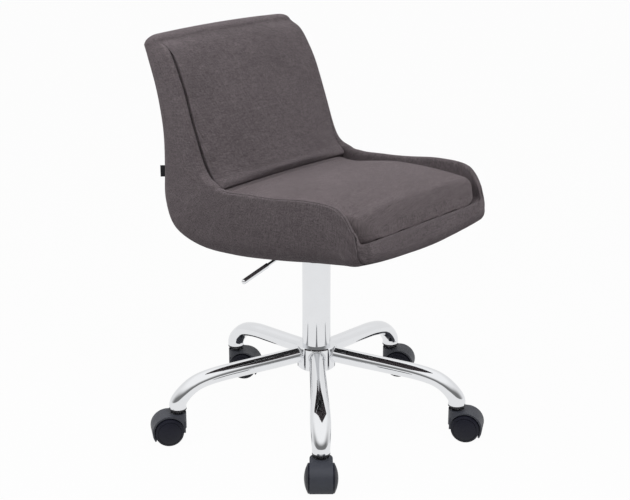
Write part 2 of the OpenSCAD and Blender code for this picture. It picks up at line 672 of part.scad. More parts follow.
module seat_shell() color([0.34, 0.31, 0.32]) difference() {
    loft([for (p = PLACES) shell_ring(p)]);
    board_room(60);
    translate([0, cloth_back, plate_top_z - 60]) rounded_plate(cloth_w, cloth_depth, cloth_corner, 60);
    for (p = bolt_spots) translate([p[0], p[1], 0]) cylinder(d = bolt_d + 1, h = board_top_z);
}

// Room for the seat board in what lies round it and over it
module board_room(h) translate([0, 0, board_z]) rounded_plate(board_w + 1, board_depth + 1, board_corner, h);

// Closed outline of a cushion: flat underneath, crowned on top, from -w to w and from a to b
function pad_outline(w, a, b, crown, edge, foot) =
    let (top = b - crown, e = min(edge, (top - a) * 0.45), small = min(foot, (top - a) * 0.45))
    concat([for (i = [-3:3]) [i * (w - small) / 3, a]],
           [for (c = [-45, 0]) [w - small + small * cos(c), a + small + small * sin(c)]],
           [for (c = [0, 22.5, 45, 67.5]) [w - e + e * cos(c), top - e + e * sin(c)]],
           [for (i = [4:-1:-4]) let (k = i / 4) [k * (w - e), top + crown * (1 - k * k)]],
           [for (c = [112.5, 135, 157.5, 180]) [-w + e + e * cos(c), top - e + e * sin(c)]],
           [for (c = [180, 225]) [-w + small + small * cos(c), a + small + small * sin(c)]]);

// Ring of a cushion at place p[0], as a straight blend of the rings at the half steps round it, which
// keeps its underside off the shell's facets. It draws in at the sides by p[1] and on top by p[2].
function cushion_ring(p) =
    let (u = floor(2 * p[0]) / 2, t = 2 * (p[0] - u), a = half_step_ring(u, p))
    t == 0 ? a : (1 - t) * a + t * half_step_ring(u + 0.5, p);

function half_step_ring(u, p) =
    let (s = row(SECTIONS, u), w = s[3] - s[7] - 2 * cushion_gap - p[1],
         edge = p[0] < SEAM ? s[9] - cushion_crown : s[4] + s[10] * pad_stand, crown = max(s[9] - edge, 3),
         round = p[0] < SEAM ? cushion_edge : pad_edge, v = len(p) > 3 ? p[3] : 0,
         foot = s[8] + cushion_gap * (1 + 4 * (1 - cos(v))))
    [for (q = pad_outline(w, foot, edge + crown - p[2], crown, round, fillet(s)))
        spot(u, q[0], q[1], v)];

// Share of the seam's rounding that the cushions draw in, by distance from the seam along the loft
SEAM_ROUND = [[0.02, 0.45, 0.9], [0.07, 0.2, 0.5], [0.2, 0.06, 0.2], [0.42, 0, 0.03]];
function seam_places(side) = [for (r = SEAM_ROUND)
    [SEAM + side * r[0], r[1] * seam_round, r[2] * seam_round]];

// Rounding of the cushion's front: place, draw-in at the sides, draw-in on top
CUSHION_FRONT = [[1, 20, 6], [1.5, 9, 3.5], [2, 4, 1.5], [2.5, 1.5, 0.5]];

module seat_cushion() color([0.42, 0.38, 0.39]) difference() {
    loft([for (p = concat(CUSHION_FRONT, [for (u = [3:0.5:SEAM - 0.5]) [u, 0, 0]],
                          reversed(seam_places(-1)))) cushion_ring(p)]);
    board_room(board_t + face_gap);
}

module back_pad() color([0.36, 0.33, 0.34]) difference() {
    loft([for (p = concat(seam_places(1), [for (u = [9:0.5:LAST]) [u, 0, 0]],
                          [[LAST, 1, 0, 35], [LAST, 2, 0, 65], [LAST, 3, 0, 90]])) cushion_ring(p)]);
    board_room(board_t + face_gap);
}

module seat_board() color("burlywood") difference() {
    translate([0, 0, board_z]) rounded_plate(board_w, board_depth, board_corner, board_t);
    for (p = bolt_spots) translate([p[0], p[1], board_z - 1]) {
        cylinder(r = nut_r, h = board_t + 2);
        translate([0, 0, board_t + 1 - flange_t]) cylinder(r = nut_r + 5, h = flange_t + 1);
    }
}

cloth_corner = 20;

// Black cloth that closes the recess under the seat, cut out round the seat plate
module under_cloth() color([0.07, 0.07, 0.07]) translate([0, 0, plate_top_z - cloth_t]) difference() {
    translate([0, cloth_back, 0]) rounded_plate(cloth_w - 2, cloth_depth - 2, cloth_corner - 1, cloth_t);
    translate([0, 0, -1]) rounded_plate(plate_size + 1, plate_size + 1, 14.5, cloth_t + 2);
}

tab_u = 10.9;

// Folded tab that stands out of the rear seam on the sitter's right
module fabric_tab() color([0.08, 0.08, 0.08]) {
    s = row(SECTIONS, tab_u);
    p = spot(tab_u, -(s[3] - s[6] * (1 - sin(45))), s[6] * (1 - cos(45)), 0);
    translate(p) rotate([0, 0, 135]) translate([face_gap, -tab_t / 2, -tab_h / 2])
        cube([tab_l, tab_t, tab_h]);
}

base_hub();
for (i = [1:5]) base_arm(i);
for (i = [1:5]) socket_plug(i);
column_tube();
guide_bush();
bearing_washers();
bearing_balls();
piston_rod();
piston_head();
rod_clip();
lift_cylinder();
rod_guide();
release_pin();
seat_plate();
taper_socket();
mount_bolts();
tee_nuts();
lever_pivot();
lever_rod();
lever_handle();
seat_board();
under_cloth();
seat_shell();
back_pad();
seat_cushion();
fabric_tab();
for (i = [1:5]) caster_hood(i);
for (i = [1:5]) caster_stem(i);
for (i = [1:5]) caster_axle(i);
for (i = [1:5]) wheel(i, 1);
for (i = [1:5]) wheel(i, -1);
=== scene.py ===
"""Looks of an adjustable swivel stool: woven upholstery, chromed tube and black casters."""

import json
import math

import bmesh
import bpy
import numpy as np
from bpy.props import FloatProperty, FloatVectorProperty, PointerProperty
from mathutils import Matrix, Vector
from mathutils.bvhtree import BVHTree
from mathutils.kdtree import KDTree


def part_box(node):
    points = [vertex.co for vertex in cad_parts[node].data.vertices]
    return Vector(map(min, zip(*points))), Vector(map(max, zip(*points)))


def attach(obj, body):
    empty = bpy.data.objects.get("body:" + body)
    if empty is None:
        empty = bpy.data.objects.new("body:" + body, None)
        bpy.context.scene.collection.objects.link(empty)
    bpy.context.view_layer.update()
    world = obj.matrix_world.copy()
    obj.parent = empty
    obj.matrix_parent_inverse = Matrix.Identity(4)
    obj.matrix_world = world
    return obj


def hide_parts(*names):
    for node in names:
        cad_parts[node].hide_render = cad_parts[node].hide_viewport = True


bl_info = {
    "name": "Swivel Stool Looks",
    "version": (1, 0, 0),
    "blender": (4, 5, 0),
    "location": "View3D > Sidebar > Stool",
    "description": "Dresses the stool's frame in woven upholstery, chrome and moulded plastic",
    "category": "Object",
}

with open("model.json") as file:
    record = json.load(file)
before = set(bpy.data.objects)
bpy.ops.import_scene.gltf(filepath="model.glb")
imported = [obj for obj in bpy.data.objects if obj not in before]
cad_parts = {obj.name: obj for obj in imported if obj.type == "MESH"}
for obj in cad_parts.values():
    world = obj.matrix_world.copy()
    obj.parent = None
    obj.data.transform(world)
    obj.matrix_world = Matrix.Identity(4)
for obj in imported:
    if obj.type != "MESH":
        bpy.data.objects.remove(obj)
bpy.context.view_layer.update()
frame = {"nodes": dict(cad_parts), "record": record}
MM = 0.001


# ---------- Form of the seat's covers, in millimetres ----------

# Sections from the front lip to the top of the back, drawn after the solids and adjusted for their covers.
# Each row holds: forward and up of the section's foot, its lean, half width, reach of the side walls,
# rise of the middle over the foot, corner radius, thickness of the walls, thickness of floor or back,
# reach of the cushion or back pad, and how far the pad's side edges stand over the walls, as a share
# of PAD_STAND
SECTIONS = np.array([
    [241, 60, -16, 152, 26, -8, 12, 6, 21, 36, 0],
    [237, 52, -13, 168, 42, -10, 15, 8, 29, 56, 0],
    [230, 47, -10, 177.5, 57, -10, 18, 10, 30, 74, 0],
    [215, 41.5, -6, 180, 82, -10, 24, 11, 29, 87, 0],
    [189, 36, -3, 180.5, 100, -7, 33, 11, 20, 94, 0],
    [120, 23, 5, 182, 114, 2, 44, 12, 27, 110, 0],
    [30, 8, 16, 184, 125, 10, 48, 13, 44, 128, 0],
    [-50, 0, 26, 185, 138, 11, 48, 15, 56, 140, 0],
    [-125, 1, 38, 185, 152, 3, 45, 16, 58, 152, -0.30],
    [-183, 23, 52, 185, 160, -3, 45, 18, 40, 161, -0.25],
    [-208.5, 71, 68, 184, 148, -6, 46, 20, 28, 161, -0.35],
    [-213.5, 129, 82, 181, 116, -8, 48, 18, 25, 140, 0.46],
    [-216, 199, 84, 178, 92.5, -10, 45, 12, 24, 108, 0.56],
    [-229, 266, 80, 176, 79.5, -10, 40, 12, 23, 89, 0.56],
    [-246, 312, 76, 172, 69.5, -10, 34, 11, 22, 78, 0.54],
    [-258, 331, 74, 166, 57.5, -10, 30, 11, 20, 69, 0.54]], dtype=float)
LAST = len(SECTIONS) - 1
# Depth at which the swivel plate sits in the shell's underside, and height of the sections' foot
SHELL_DROP = 23
SHELL_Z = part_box("seat_plate")[1].z / MM - SHELL_DROP
# Roll over the top of the back, its crown, the rounding of its two corners and the angles of its rings
TOP_ROLL = 15
TOP_CROWN = 3
TOP_CORNER = 18
TOP_ANGLES = np.radians([8, 17, 26, 35, 44, 53, 62, 71, 80, 86, 90])
# Outward curve of the shell's walls, their least height at the front lip and the rounding of that lip
WALL_BULGE = 1.5
LIP_WALL = 1.5
LIP_ROUND = 5.0
# Most rounding between the floor and a wall inside the shell
MOST_FILLET = 14.0
# How far the crest of the wings beside the pad lies from their middle, as a share of half their thickness
WING_SKEW = 0.35
# Angles round a side wall's rim at which its points are set, from its outer face to its top, and the
# angle of the seam that joins the outer cloth to the band on the rim
RIM_ANGLES = (0, 14, 27, 38, 46, 52, 57, 61, 65, 70, 77, 86)
RIM_SEAM = 61
# Half width of that seam's dip, and the swelling of the cloth below it: its height as a share of the
# dip's depth, its angle under the seam and its reach in degrees
DIP_REACH = 0.8
PUFF_SHARE = 0.45
PUFF_ANGLE = 26
PUFF_REACH = 16
# Points along the floor or back, round a corner and up a wall in half a section of the shell
FLAT_COUNT, ROUND_COUNT, WALL_COUNT = 14, 12, 12
# Points up a side, round an edge and across to the middle in half an outline of a cushion or pad
SIDE_COUNT, EDGE_COUNT, TOP_COUNT = 9, 6, 14
# How firmly the points up a side and round an edge are held while the foam swells
SIDE_SHARES = [1.0] * 7 + [0.9, 0.75]
EDGE_SHARES = [0.55, 0.4, 0.3, 0.2, 0.1, 0.05]
# Distance between the rings of the seat, and the least step from one to the next as a part of a section
RING_SPACING = 4.0
LEAST_STEP = 0.008
# Crown and edges of the cushion and the pad, their gap to the shell and the pad's stand over the wings
CUSHION_CROWN = 7
CUSHION_EDGE = 14
CUSHION_GAP = 0.4
PAD_EDGE = 3.5
PAD_STAND = 13
# Most of a cushion's height that the rounding of one of its edges takes
EDGE_SHARE = 0.36
# Places along the seat, counted in sections: the cushion's front, the upright seam at each front corner
# of the shell, the seam across the cushion's front, the seam between cushion and back pad, and the
# foot of the seam up each rear corner
CUSHION_START = 1.0
CORNER_SEAM = 1.42
FRONT_SEAM = 2.1
SEAM = 9.15
REAR_SEAM = 9.6
# Distances from the seam along the loft at which the cushion and the pad round off towards it
CUSHION_PLACES = (0.006, 0.03, 0.06, 0.1, 0.15, 0.21, 0.28, 0.36, 0.45, 0.54, 0.63)
PAD_PLACES = (0.006, 0.03, 0.07, 0.11, 0.16, 0.25, 0.36, 0.48, 0.6, 0.72, 0.84, 0.95, 1.05, 1.15)
# Rounding of the pad's foot, of the cushion's rear edge and of the cushion's rear corners
PAD_ROUND = 12
CUSHION_ROUND = 5
CORNER_ROUND = 20
# Rounding of the cushion's front corners and front edge, and how much narrower its front is
FRONT_CORNER = 20.0
FRONT_EDGE = 5.0
FRONT_DRAW = 14
# Half length of the seam across the cushion's front
SEAM_HALF = 112
# Drop and length of the slope from the cushion's crest back to the seam
VALLEY_DROP = 9
VALLEY_REACH = 110


# ---------- Form of the base, in millimetres ----------

# Middle line and tube of an arm: share of the reach, share of the drop, width and depth between
# the values at the hub (0), the bend (1) and the round end (2)
ARM_LINE = np.array([
    [0.117, 1.000, 0.0], [0.311, 0.920, 0.1], [0.545, 0.832, 0.3], [0.704, 0.766, 0.6],
    [0.817, 0.679, 0.9], [0.887, 0.569, 1.0], [0.945, 0.400, 1.2], [0.985, 0.225, 1.6],
    [1.000, 0.100, 2.0], [1.000, 0.000, 2.0]])
ARM_LAST = len(ARM_LINE) - 1
ARM_ROOT_Z = 131.5
ARM_END_Z = 63.0
ARM_WIDTHS = (28.0, 35.0, 30.0)
ARM_DEPTHS = (28.0, 26.0, 30.0)
ARM_WALL = 1.8
ARM_SIDES = 48
HUB_RADIUS = 34.0
# Bearing of the first arm in degrees, and radius of the circle of casters
BASE_TURN = 6.25
BASE_RADIUS = 257.0


# ---------- Small measures, in metres ----------

# Recess in the shell's underside: room round the lining, depth and corner radius
RECESS_MARGIN = 0.001
RECESS_DEPTH = 0.08
RECESS_CORNER = 0.02
# Height of the waver in the cushion's lower front edge, and how far back it reaches
WAVER_HEIGHT = 0.0009
WAVER_REACH = 0.016
# Distance between the rings of a thread or weld bead, and thickness of a veneer
TUBE_STEP = 0.0007
VENEER = 0.0012
# Radius and twist of the dark thread in the rim seams, which is sewing thread and a painted shade line
# in the seams' dips, radius of the stitches, pitch of a weld's drops and distance of the two troughs beside
# the cushion's front seam from that seam
THREAD_RADIUS = 0.00045
TWIST_PITCH = 0.0018
STITCH_RADIUS = 0.0003
WELD_PITCH = 0.0028
TWIN_GAP = 0.0027


# ---------- Simulation and stage ----------

# Air pressure under a cover, the frames that it acts for and the rounds that even out the movement
FOAM_PRESSURE = 4.0
FOAM_FRAMES = 20
FOAM_ROUNDS = 10
# Camera: width of its picture, focal length and shift in that width's units, width of its sensor in
# millimetres, bearing and rise in degrees, distance from its aim and height of the aim in metres
PICTURE_WIDTH = 630.0
FOCAL_LENGTH = 1325.0
CAMERA_SHIFT = -1.4
SENSOR = 36.0
CAMERA_BEARING = -49.45
CAMERA_RISE = 18.31
CAMERA_DISTANCE = 2.317
CAMERA_AIM = 0.324
# Half width of the floor in metres, and the direction on it in which the studio is unlit
FLOOR_REACH = 6.0
DIM_END = (-0.76, -0.65)


# ---------- Outlines ----------

def row(table, u):
    """Row of a table at place u, on a smooth curve through its rows."""
    last = len(table) - 1
    i = min(int(u), last - 1)
    t = u - i
    b, c = table[i], table[i + 1]
    a = table[i - 1] if i > 0 else 2 * b - c
    d = table[i + 2] if i < last - 1 else 2 * c - b
    return 0.5 * (2 * b + (c - a) * t + (2 * a - 5 * b + 4 * c - d) * t ** 2
                  + (3 * b - 3 * c + d - a) * t ** 3)


def eased(x, low, high):
    """Smooth step from 0 at low to 1 at high."""
    t = min(max((x - low) / (high - low), 0.0), 1.0)
    return t * t * (3 - 2 * t)


def spot(u, x, n, roll=0.0):
    """Point in metres at x across and n deep in section u, carried over the top roll by an angle."""
    s = row(SECTIONS, u)
    lean = math.radians(s[2])
    half_depth = s[9] / 2
    m = half_depth + (n - half_depth) * (1 - 0.85 * (1 - math.cos(roll)))
    crown = TOP_CROWN * max(0.0, u - LAST + 1) * (1 - (x / s[3]) ** 2)
    lift = TOP_ROLL * math.sin(roll) + crown
    return (MM * x * (1 - TOP_CORNER / s[3] * (1 - math.cos(roll))),
            -MM * (s[0] + m * math.sin(lean) - lift * math.cos(lean)),
            MM * (SHELL_Z + s[1] + m * math.cos(lean) + lift * math.sin(lean)))


def arc(centre, radius, start, end, count):
    """Points on an arc in section coordinates, angles in degrees from +x, the last one left out."""
    angles = np.radians(np.linspace(start, end, count, endpoint=False))
    return [(centre[0] + radius * math.cos(a), centre[1] + radius * math.sin(a)) for a in angles]


def fractions(count):
    """So many even steps from 0 towards 1, the 1 left out."""
    return np.arange(count) / count


def line(a, b, count):
    """Points from a towards b in section coordinates, b left out."""
    return [(a[0] + (b[0] - a[0]) * t, a[1] + (b[1] - a[1]) * t) for t in fractions(count)]


def fillet(s):
    """Radius between the floor and the side wall inside the shell."""
    return min(MOST_FILLET, (s[4] - s[8]) * 0.6)


def rim(s, side, top, seam=0.0):
    """Rounded edge of a side wall, outer half for side 1 and inner half for side -1, with a seam's dip."""
    w, h, e = s[3], s[4], s[7] / 2
    skew = WING_SKEW * eased(s[10], 0.0, 0.4)
    points = []
    for a in RIM_ANGLES:
        press = math.exp(-((a - RIM_SEAM) * math.radians(e) / DIP_REACH) ** 2)
        puff = PUFF_SHARE * math.exp(-((a - RIM_SEAM + PUFF_ANGLE) / PUFF_REACH) ** 2)
        r = 1 + (seam * (puff - press) / e if side > 0 else 0.0)
        c = math.radians(a)
        points.append((w - e * (1 + skew) + side * r * e * (1 + side * skew) * math.cos(c),
                       top + (h - top) * r * math.sin(c)))
    return points


def shell_halves(s, wall_bulge=0.0, seam=0.0):
    """Outer and inner outlines of the shell's right half, paired point by point from the middle."""
    w, mid, r = s[3], s[5], s[6]
    f, q, c = s[8], w - s[7], fillet(s)
    top = max(s[4] - s[7] / 2, r, f + c)
    outer = [((w - r) * t, mid * (1 - t * t)) for t in fractions(FLAT_COUNT)]
    outer += arc((w - r, r), r, -90, 0, ROUND_COUNT)
    outer += [(w + wall_bulge * 4 * t * (1 - t), r + (top - r) * t) for t in fractions(WALL_COUNT)]
    outer += rim(s, 1, top, seam)
    inner = line((0, f), (q - c, f), FLAT_COUNT)
    inner += arc((q - c, f + c), c, -90, 0, ROUND_COUNT)
    inner += line((q, f + c), (q, top), WALL_COUNT)
    inner += rim(s, -1, top)
    return outer, inner


def pad_halves(w, a, b, crown, edge, foot, ease=0.0, flare=0.0, step=0.0):
    """Lower and upper outlines of a cushion's right half, from its side at w to the middle.

    It is flat underneath at height a and crowned on top up to height b. Over the height step its side
    stands out by flare, so that the cover overhangs its foot. The middle of the top is higher by ease,
    where a seam draws in the sides.
    """
    top = b - crown
    e = min(edge, (top - a) * EDGE_SHARE)
    f = min(foot, (top - a) * EDGE_SHARE)
    step = min(max(step, a + f), top - e - 3) if flare else top - e
    middle = (a + f + step) / 2
    lower = line((w, middle), (w, a + f), SIDE_COUNT) + arc((w - f, a + f), f, 0, -90, EDGE_COUNT)
    lower += line((w - f, a), (0, a), TOP_COUNT)
    heights = middle + (top - e - middle) * np.arange(SIDE_COUNT) / SIDE_COUNT
    full = step + 0.75 * (top - e - step)
    upper = [(w + flare * eased(n, step - 1.5, full), n) for n in heights]
    w += flare
    upper += arc((w - e, top - e), e, 0, 90, EDGE_COUNT)
    upper += [((w - e) * t, top + crown * (1 - t * t) + ease * (1 - t ** 4))
              for t in 1 - fractions(TOP_COUNT)]
    return lower, upper


def mirrored(half):
    """A half outline from +x to the middle, turned into a whole one from -x to +x."""
    return [(-x, n) for x, n in half] + [(0.0, half[-1][1])] + half[::-1]


# ---------- Meshes ----------

def placed(name, data):
    """New object of the scene with the given mesh, light or camera."""
    thing = bpy.data.objects.new(name, data)
    bpy.context.scene.collection.objects.link(thing)
    return thing


def smooth(mesh):
    """Shades every face of a mesh smooth."""
    mesh.polygons.foreach_set("use_smooth", [True] * len(mesh.polygons))


def vectors(mesh, key):
    """Places or normals of a mesh's points, one row for each."""
    values = np.empty(len(mesh.vertices) * 3)
    mesh.vertices.foreach_get(key, values)
    return values.reshape(-1, 3)


def move_points(mesh, places):
    """Puts a mesh's points at new places, one row for each."""
    mesh.vertices.foreach_set("co", places.ravel())
    mesh.update()


def point_tree(points):
    """Search tree over a row of points."""
    tree = KDTree(len(points))
    for i, p in enumerate(points):
        tree.insert(p, i)
    tree.balance()
    return tree


def settle_normals(mesh):
    """Merges doubles and turns every face outwards."""
    work = bmesh.new()
    work.from_mesh(mesh)
    bmesh.ops.remove_doubles(work, verts=work.verts, dist=1e-6)
    bmesh.ops.recalc_face_normals(work, faces=work.faces)
    if work.calc_volume(signed=True) < 0:
        bmesh.ops.reverse_faces(work, faces=work.faces)
    work.to_mesh(mesh)
    work.free()


def closed_loft(name, rings, rows):
    """Closed piece through rings of paired points, with ends filled by a grid of so many rows."""
    rings = [np.asarray(r, dtype=float) for r in rings]
    n = len(rings[0])
    around = [np.concatenate([[0], np.cumsum(np.linalg.norm(np.roll(r, -1, axis=0) - r, axis=1))])
              for r in rings]
    gaps = [np.median(np.linalg.norm(b - a, axis=1)) for a, b in zip(rings, rings[1:])]
    along = np.concatenate([[0], np.cumsum(gaps)])
    points = [p for r in rings for p in r]
    faces, uvs = [], []
    for k in range(len(rings) - 1):
        for i in range(n):
            corners = ((k, i), (k, i + 1), (k + 1, i + 1), (k + 1, i))
            faces.append([ring * n + at % n for ring, at in corners])
            uvs += [(around[ring][at], along[ring]) for ring, at in corners]
    for base in (0, (len(rings) - 1) * n):
        fill_end(points, faces, uvs, base, n, rows)
    mesh = bpy.data.meshes.new(name)
    mesh.from_pydata([tuple(p) for p in points], [], faces)
    layer = mesh.uv_layers.new(name="weave")
    layer.data.foreach_set("uv", np.asarray(uvs, dtype=np.float32).ravel())
    settle_normals(mesh)
    smooth(mesh)
    return placed(name, mesh)


def fill_end(points, faces, uvs, base, n, rows):
    """Fills one end of a loft with columns between the paired points of its ring."""
    pairs = n // 2
    columns = []
    for i in range(pairs):
        first, second = base + i, base + n - 1 - i
        column = [first]
        if 0 < i < pairs - 1:
            for k in range(1, rows):
                column.append(len(points))
                points.append(points[first] + (points[second] - points[first]) * k / rows)
        columns.append(column + [second])
    for left, right in zip(columns, columns[1:]):
        new = [left + right[::-1]]
        if len(left) == len(right):
            new = [(left[k], right[k], right[k + 1], left[k + 1]) for k in range(len(left) - 1)]
        faces += new
        uvs += [(points[v][0], points[v][2] - points[v][1]) for face in new for v in face]


def bake_modifiers(piece):
    """Replaces a piece's mesh by its evaluated one and drops its modifiers."""
    graph = bpy.context.evaluated_depsgraph_get()
    mesh = bpy.data.meshes.new_from_object(piece.evaluated_get(graph), depsgraph=graph)
    piece.modifiers.clear()
    piece.data = mesh


def evened(piece, field):
    """A field on a piece's points, averaged with each point's neighbours for FOAM_ROUNDS rounds."""
    edges = np.empty(len(piece.data.edges) * 2, dtype=np.int64)
    piece.data.edges.foreach_get("vertices", edges)
    a, b = edges.reshape(-1, 2).T
    count = np.bincount(a, minlength=len(field)) + np.bincount(b, minlength=len(field))
    for _ in range(FOAM_ROUNDS):
        total = np.zeros_like(field)
        np.add.at(total, a, field[b])
        np.add.at(total, b, field[a])
        field = 0.4 * field + 0.6 * total / count[:, None]
    return field


def inflate(piece, held, cap):
    """Swells a padded piece by a cloth simulation, as far as each point is free to move."""
    scene = bpy.context.scene
    before = vectors(piece.data, "co")
    group = piece.vertex_groups.new(name="held")
    for index, share in enumerate(held):
        if share > 0:
            group.add([index], float(share), "REPLACE")
    cloth = piece.modifiers.new("cloth", "CLOTH")
    cloth.settings.vertex_group_mass = "held"
    cloth.settings.use_pressure = True
    cloth.settings.uniform_pressure_force = FOAM_PRESSURE
    cloth.settings.effector_weights.gravity = 0.0
    cloth.settings.tension_stiffness = 15
    cloth.settings.bending_stiffness = 0.5
    cloth.point_cache.frame_start = 1
    cloth.point_cache.frame_end = FOAM_FRAMES
    for step in range(1, FOAM_FRAMES + 1):
        scene.frame_set(step)
    bake_modifiers(piece)
    scene.frame_set(1)
    move = vectors(piece.data, "co") - before
    length = np.linalg.norm(move, axis=1, keepdims=True)
    move *= cap * np.tanh(length / cap) / np.maximum(length, 1e-9)
    free = (1 - held)[:, None]
    move_points(piece.data, before + evened(piece, move * free) * free)
    piece.vertex_groups.clear()


def foam_cover(name, rings, shares, rows, swell):
    """Cover of a foam cushion through its rings, swollen where the shares of their points leave it free."""
    cover = closed_loft(name, rings, rows)
    tree = point_tree([p for ring in rings for p in ring])
    values = [value for share in shares for value in share]
    inflate(cover, np.array([values[tree.find(v.co)[1]] for v in cover.data.vertices]), swell)
    surface = cover.modifiers.new("subdivision", "SUBSURF")
    surface.levels = 1
    bake_modifiers(cover)
    return cover


def dense(path, pitch):
    """The same path with points at most a pitch apart."""
    path = [Vector(p) for p in path]
    out = [path[0]]
    for a, b in zip(path, path[1:]):
        count = max(1, math.ceil((b - a).length / pitch))
        out += [a.lerp(b, (k + 1) / count) for k in range(count)]
    return out


def groove(piece, path, width, depth, puff=0.35):
    """Presses a sewn seam into a piece along a path, with a soft swelling on both sides."""
    tree = point_tree(path)
    normals = [v.normal.copy() for v in piece.data.vertices]
    for v, normal in zip(piece.data.vertices, normals):
        distance = tree.find(v.co)[2] / width
        if distance < 3:
            press = math.exp(-distance * distance * 2)
            swell = puff * math.exp(-(distance - 1.4) ** 2 * 2.5)
            v.co += normal * depth * (swell - press)
    piece.data.update()


def ripple(piece, height, scale):
    """Moves the points of a piece along their normals by a slow, fixed ripple."""
    places = vectors(piece.data, "co")
    x, y, z = (places / scale).T
    wave = np.sin(x * 2.1 + 1.3 * np.sin(z * 1.7)) * np.cos(y * 1.9 + z * 1.1)
    wave += 0.6 * np.sin(x * 4.3 - y * 3.1 + 0.8) * np.sin(z * 3.7 + x * 1.2)
    lifts = (height * wave / 1.6)[:, None]
    move_points(piece.data, places + vectors(piece.data, "normal") * lifts)


# ---------- Nodes ----------

def join(tree, kind, inputs=None, **settings):
    """Adds a node, sets its properties and fills its inputs with values or other nodes' outputs."""
    node = tree.nodes.new(kind)
    for key, value in settings.items():
        setattr(node, key, value)
    for key, value in (inputs or {}).items():
        if isinstance(value, bpy.types.NodeSocket):
            tree.links.new(value, node.inputs[key])
        else:
            node.inputs[key].default_value = value
    return node


def first(tree, kind, inputs=None, **settings):
    """First output of a new node."""
    return join(tree, kind, inputs, **settings).outputs[0]


def maths(tree, operation, a, b=0.0, c=0.0):
    """Output of a math node."""
    return first(tree, "ShaderNodeMath", {0: a, 1: b, 2: c}, operation=operation)


# ---------- Geometry nodes ----------

def node_tree(name, **numbers):
    """Geometry node group with inputs for a path, for named numbers and for a material."""
    tree = bpy.data.node_groups.new(name, "GeometryNodeTree")
    tree.interface.new_socket("Geometry", in_out="INPUT", socket_type="NodeSocketGeometry")
    for label, default in numbers.items():
        socket = tree.interface.new_socket(label, in_out="INPUT", socket_type="NodeSocketFloat")
        socket.default_value = default
    tree.interface.new_socket("Material", in_out="INPUT", socket_type="NodeSocketMaterial")
    tree.interface.new_socket("Geometry", in_out="OUTPUT", socket_type="NodeSocketGeometry")
    return tree, tree.nodes.new("NodeGroupInput").outputs


def swept(tree, curve, sides, radius, scale):
    """Tube of so many sides round a curve, its radius scaled along it."""
    profile = first(tree, "GeometryNodeCurvePrimitiveCircle", {"Resolution": sides, "Radius": radius})
    return first(tree, "GeometryNodeCurveToMesh", {
        "Curve": curve, "Profile Curve": profile, "Scale": scale, "Fill Caps": True})


def finish_tree(tree, shape, material):
    """Gives a node group's shape its material and passes it out."""
    real = first(tree, "GeometryNodeRealizeInstances", {"Geometry": shape})
    painted = first(tree, "GeometryNodeSetMaterial", {"Geometry": real, "Material": material})
    join(tree, "NodeGroupOutput", {"Geometry": painted})
    return tree


def tube_tree():
    """Tube along a path, rippled like a row of weld drops or twisted cord."""
    tree, given = node_tree("Tube along path", Radius=0.002, Ripple=0.0, Pitch=0.003)
    curve = first(tree, "GeometryNodeMeshToCurve", {"Mesh": given["Geometry"]})
    even = first(tree, "GeometryNodeResampleCurve", {"Curve": curve, "Length": TUBE_STEP}, mode="LENGTH")
    place = join(tree, "GeometryNodeSplineParameter").outputs["Length"]
    angle = maths(tree, "MULTIPLY", maths(tree, "DIVIDE", place, given["Pitch"]), math.tau)
    swing = maths(tree, "MULTIPLY_ADD", maths(tree, "SINE", angle), given["Ripple"], 1.0)
    return finish_tree(tree, swept(tree, even, 10, given["Radius"], swing), given["Material"])


def stitch_tree():
    """Short threads laid end to end along a path, each dipping into the cloth at its ends."""
    tree, given = node_tree("Stitches along path", Pitch=0.004, Thread=0.00035, Share=0.7)
    curve = first(tree, "GeometryNodeMeshToCurve", {"Mesh": given["Geometry"]})
    marks = join(tree, "GeometryNodeCurveToPoints", {"Curve": curve, "Length": given["Pitch"]}, mode="LENGTH")
    half = maths(tree, "MULTIPLY", maths(tree, "MULTIPLY", given["Pitch"], given["Share"]), 0.5)
    tip = first(tree, "ShaderNodeCombineXYZ", {"Z": half})
    tail = first(tree, "ShaderNodeCombineXYZ", {"Z": maths(tree, "MULTIPLY", half, -1.0)})
    stroke = first(tree, "GeometryNodeCurvePrimitiveLine", {"Start": tail, "End": tip})
    fine = first(tree, "GeometryNodeResampleCurve", {"Curve": stroke, "Count": 7})
    place = join(tree, "GeometryNodeSplineParameter").outputs["Factor"]
    bow = maths(tree, "SINE", maths(tree, "MULTIPLY", place, math.pi))
    stitch = swept(tree, fine, 6, given["Thread"], maths(tree, "MULTIPLY_ADD", bow, 0.7, 0.4))
    rows = first(tree, "GeometryNodeInstanceOnPoints", {
        "Points": marks.outputs["Points"], "Instance": stitch, "Rotation": marks.outputs["Rotation"]})
    return finish_tree(tree, rows, given["Material"])


def laid_along(name, path, tree, values, closed=False):
    """Piece that a geometry node tree makes along a path, with the given inputs."""
    mesh = bpy.data.meshes.new(name)
    edges = [(i, i + 1) for i in range(len(path) - 1)] + ([(len(path) - 1, 0)] if closed else [])
    mesh.from_pydata([tuple(p) for p in path], edges, [])
    piece = placed(name, mesh)
    modifier = piece.modifiers.new("nodes", "NODES")
    modifier.node_group = tree
    for item in tree.interface.items_tree:
        if item.in_out == "INPUT" and item.name in values:
            modifier[item.identifier] = values[item.name]
    bake_modifiers(piece)
    smooth(piece.data)
    return piece


# ---------- Materials ----------

def new_material(name):
    """Empty node material, and its tree."""
    material = bpy.data.materials.new(name)
    material.use_nodes = True
    material.node_tree.nodes.clear()
    return material, material.node_tree


def solid_material(name):
    """Empty node material, its tree and the place in the piece that its textures follow."""
    material, tree = new_material(name)
    return material, tree, join(tree, "ShaderNodeTexCoord").outputs["Object"]


def finish_material(material, inputs):
    """Adds the shader that a finish's colour, gloss and bump go into."""
    tree = material.node_tree
    join(tree, "ShaderNodeOutputMaterial", {"Surface": first(tree, "ShaderNodeBsdfPrincipled", inputs)})
    return material


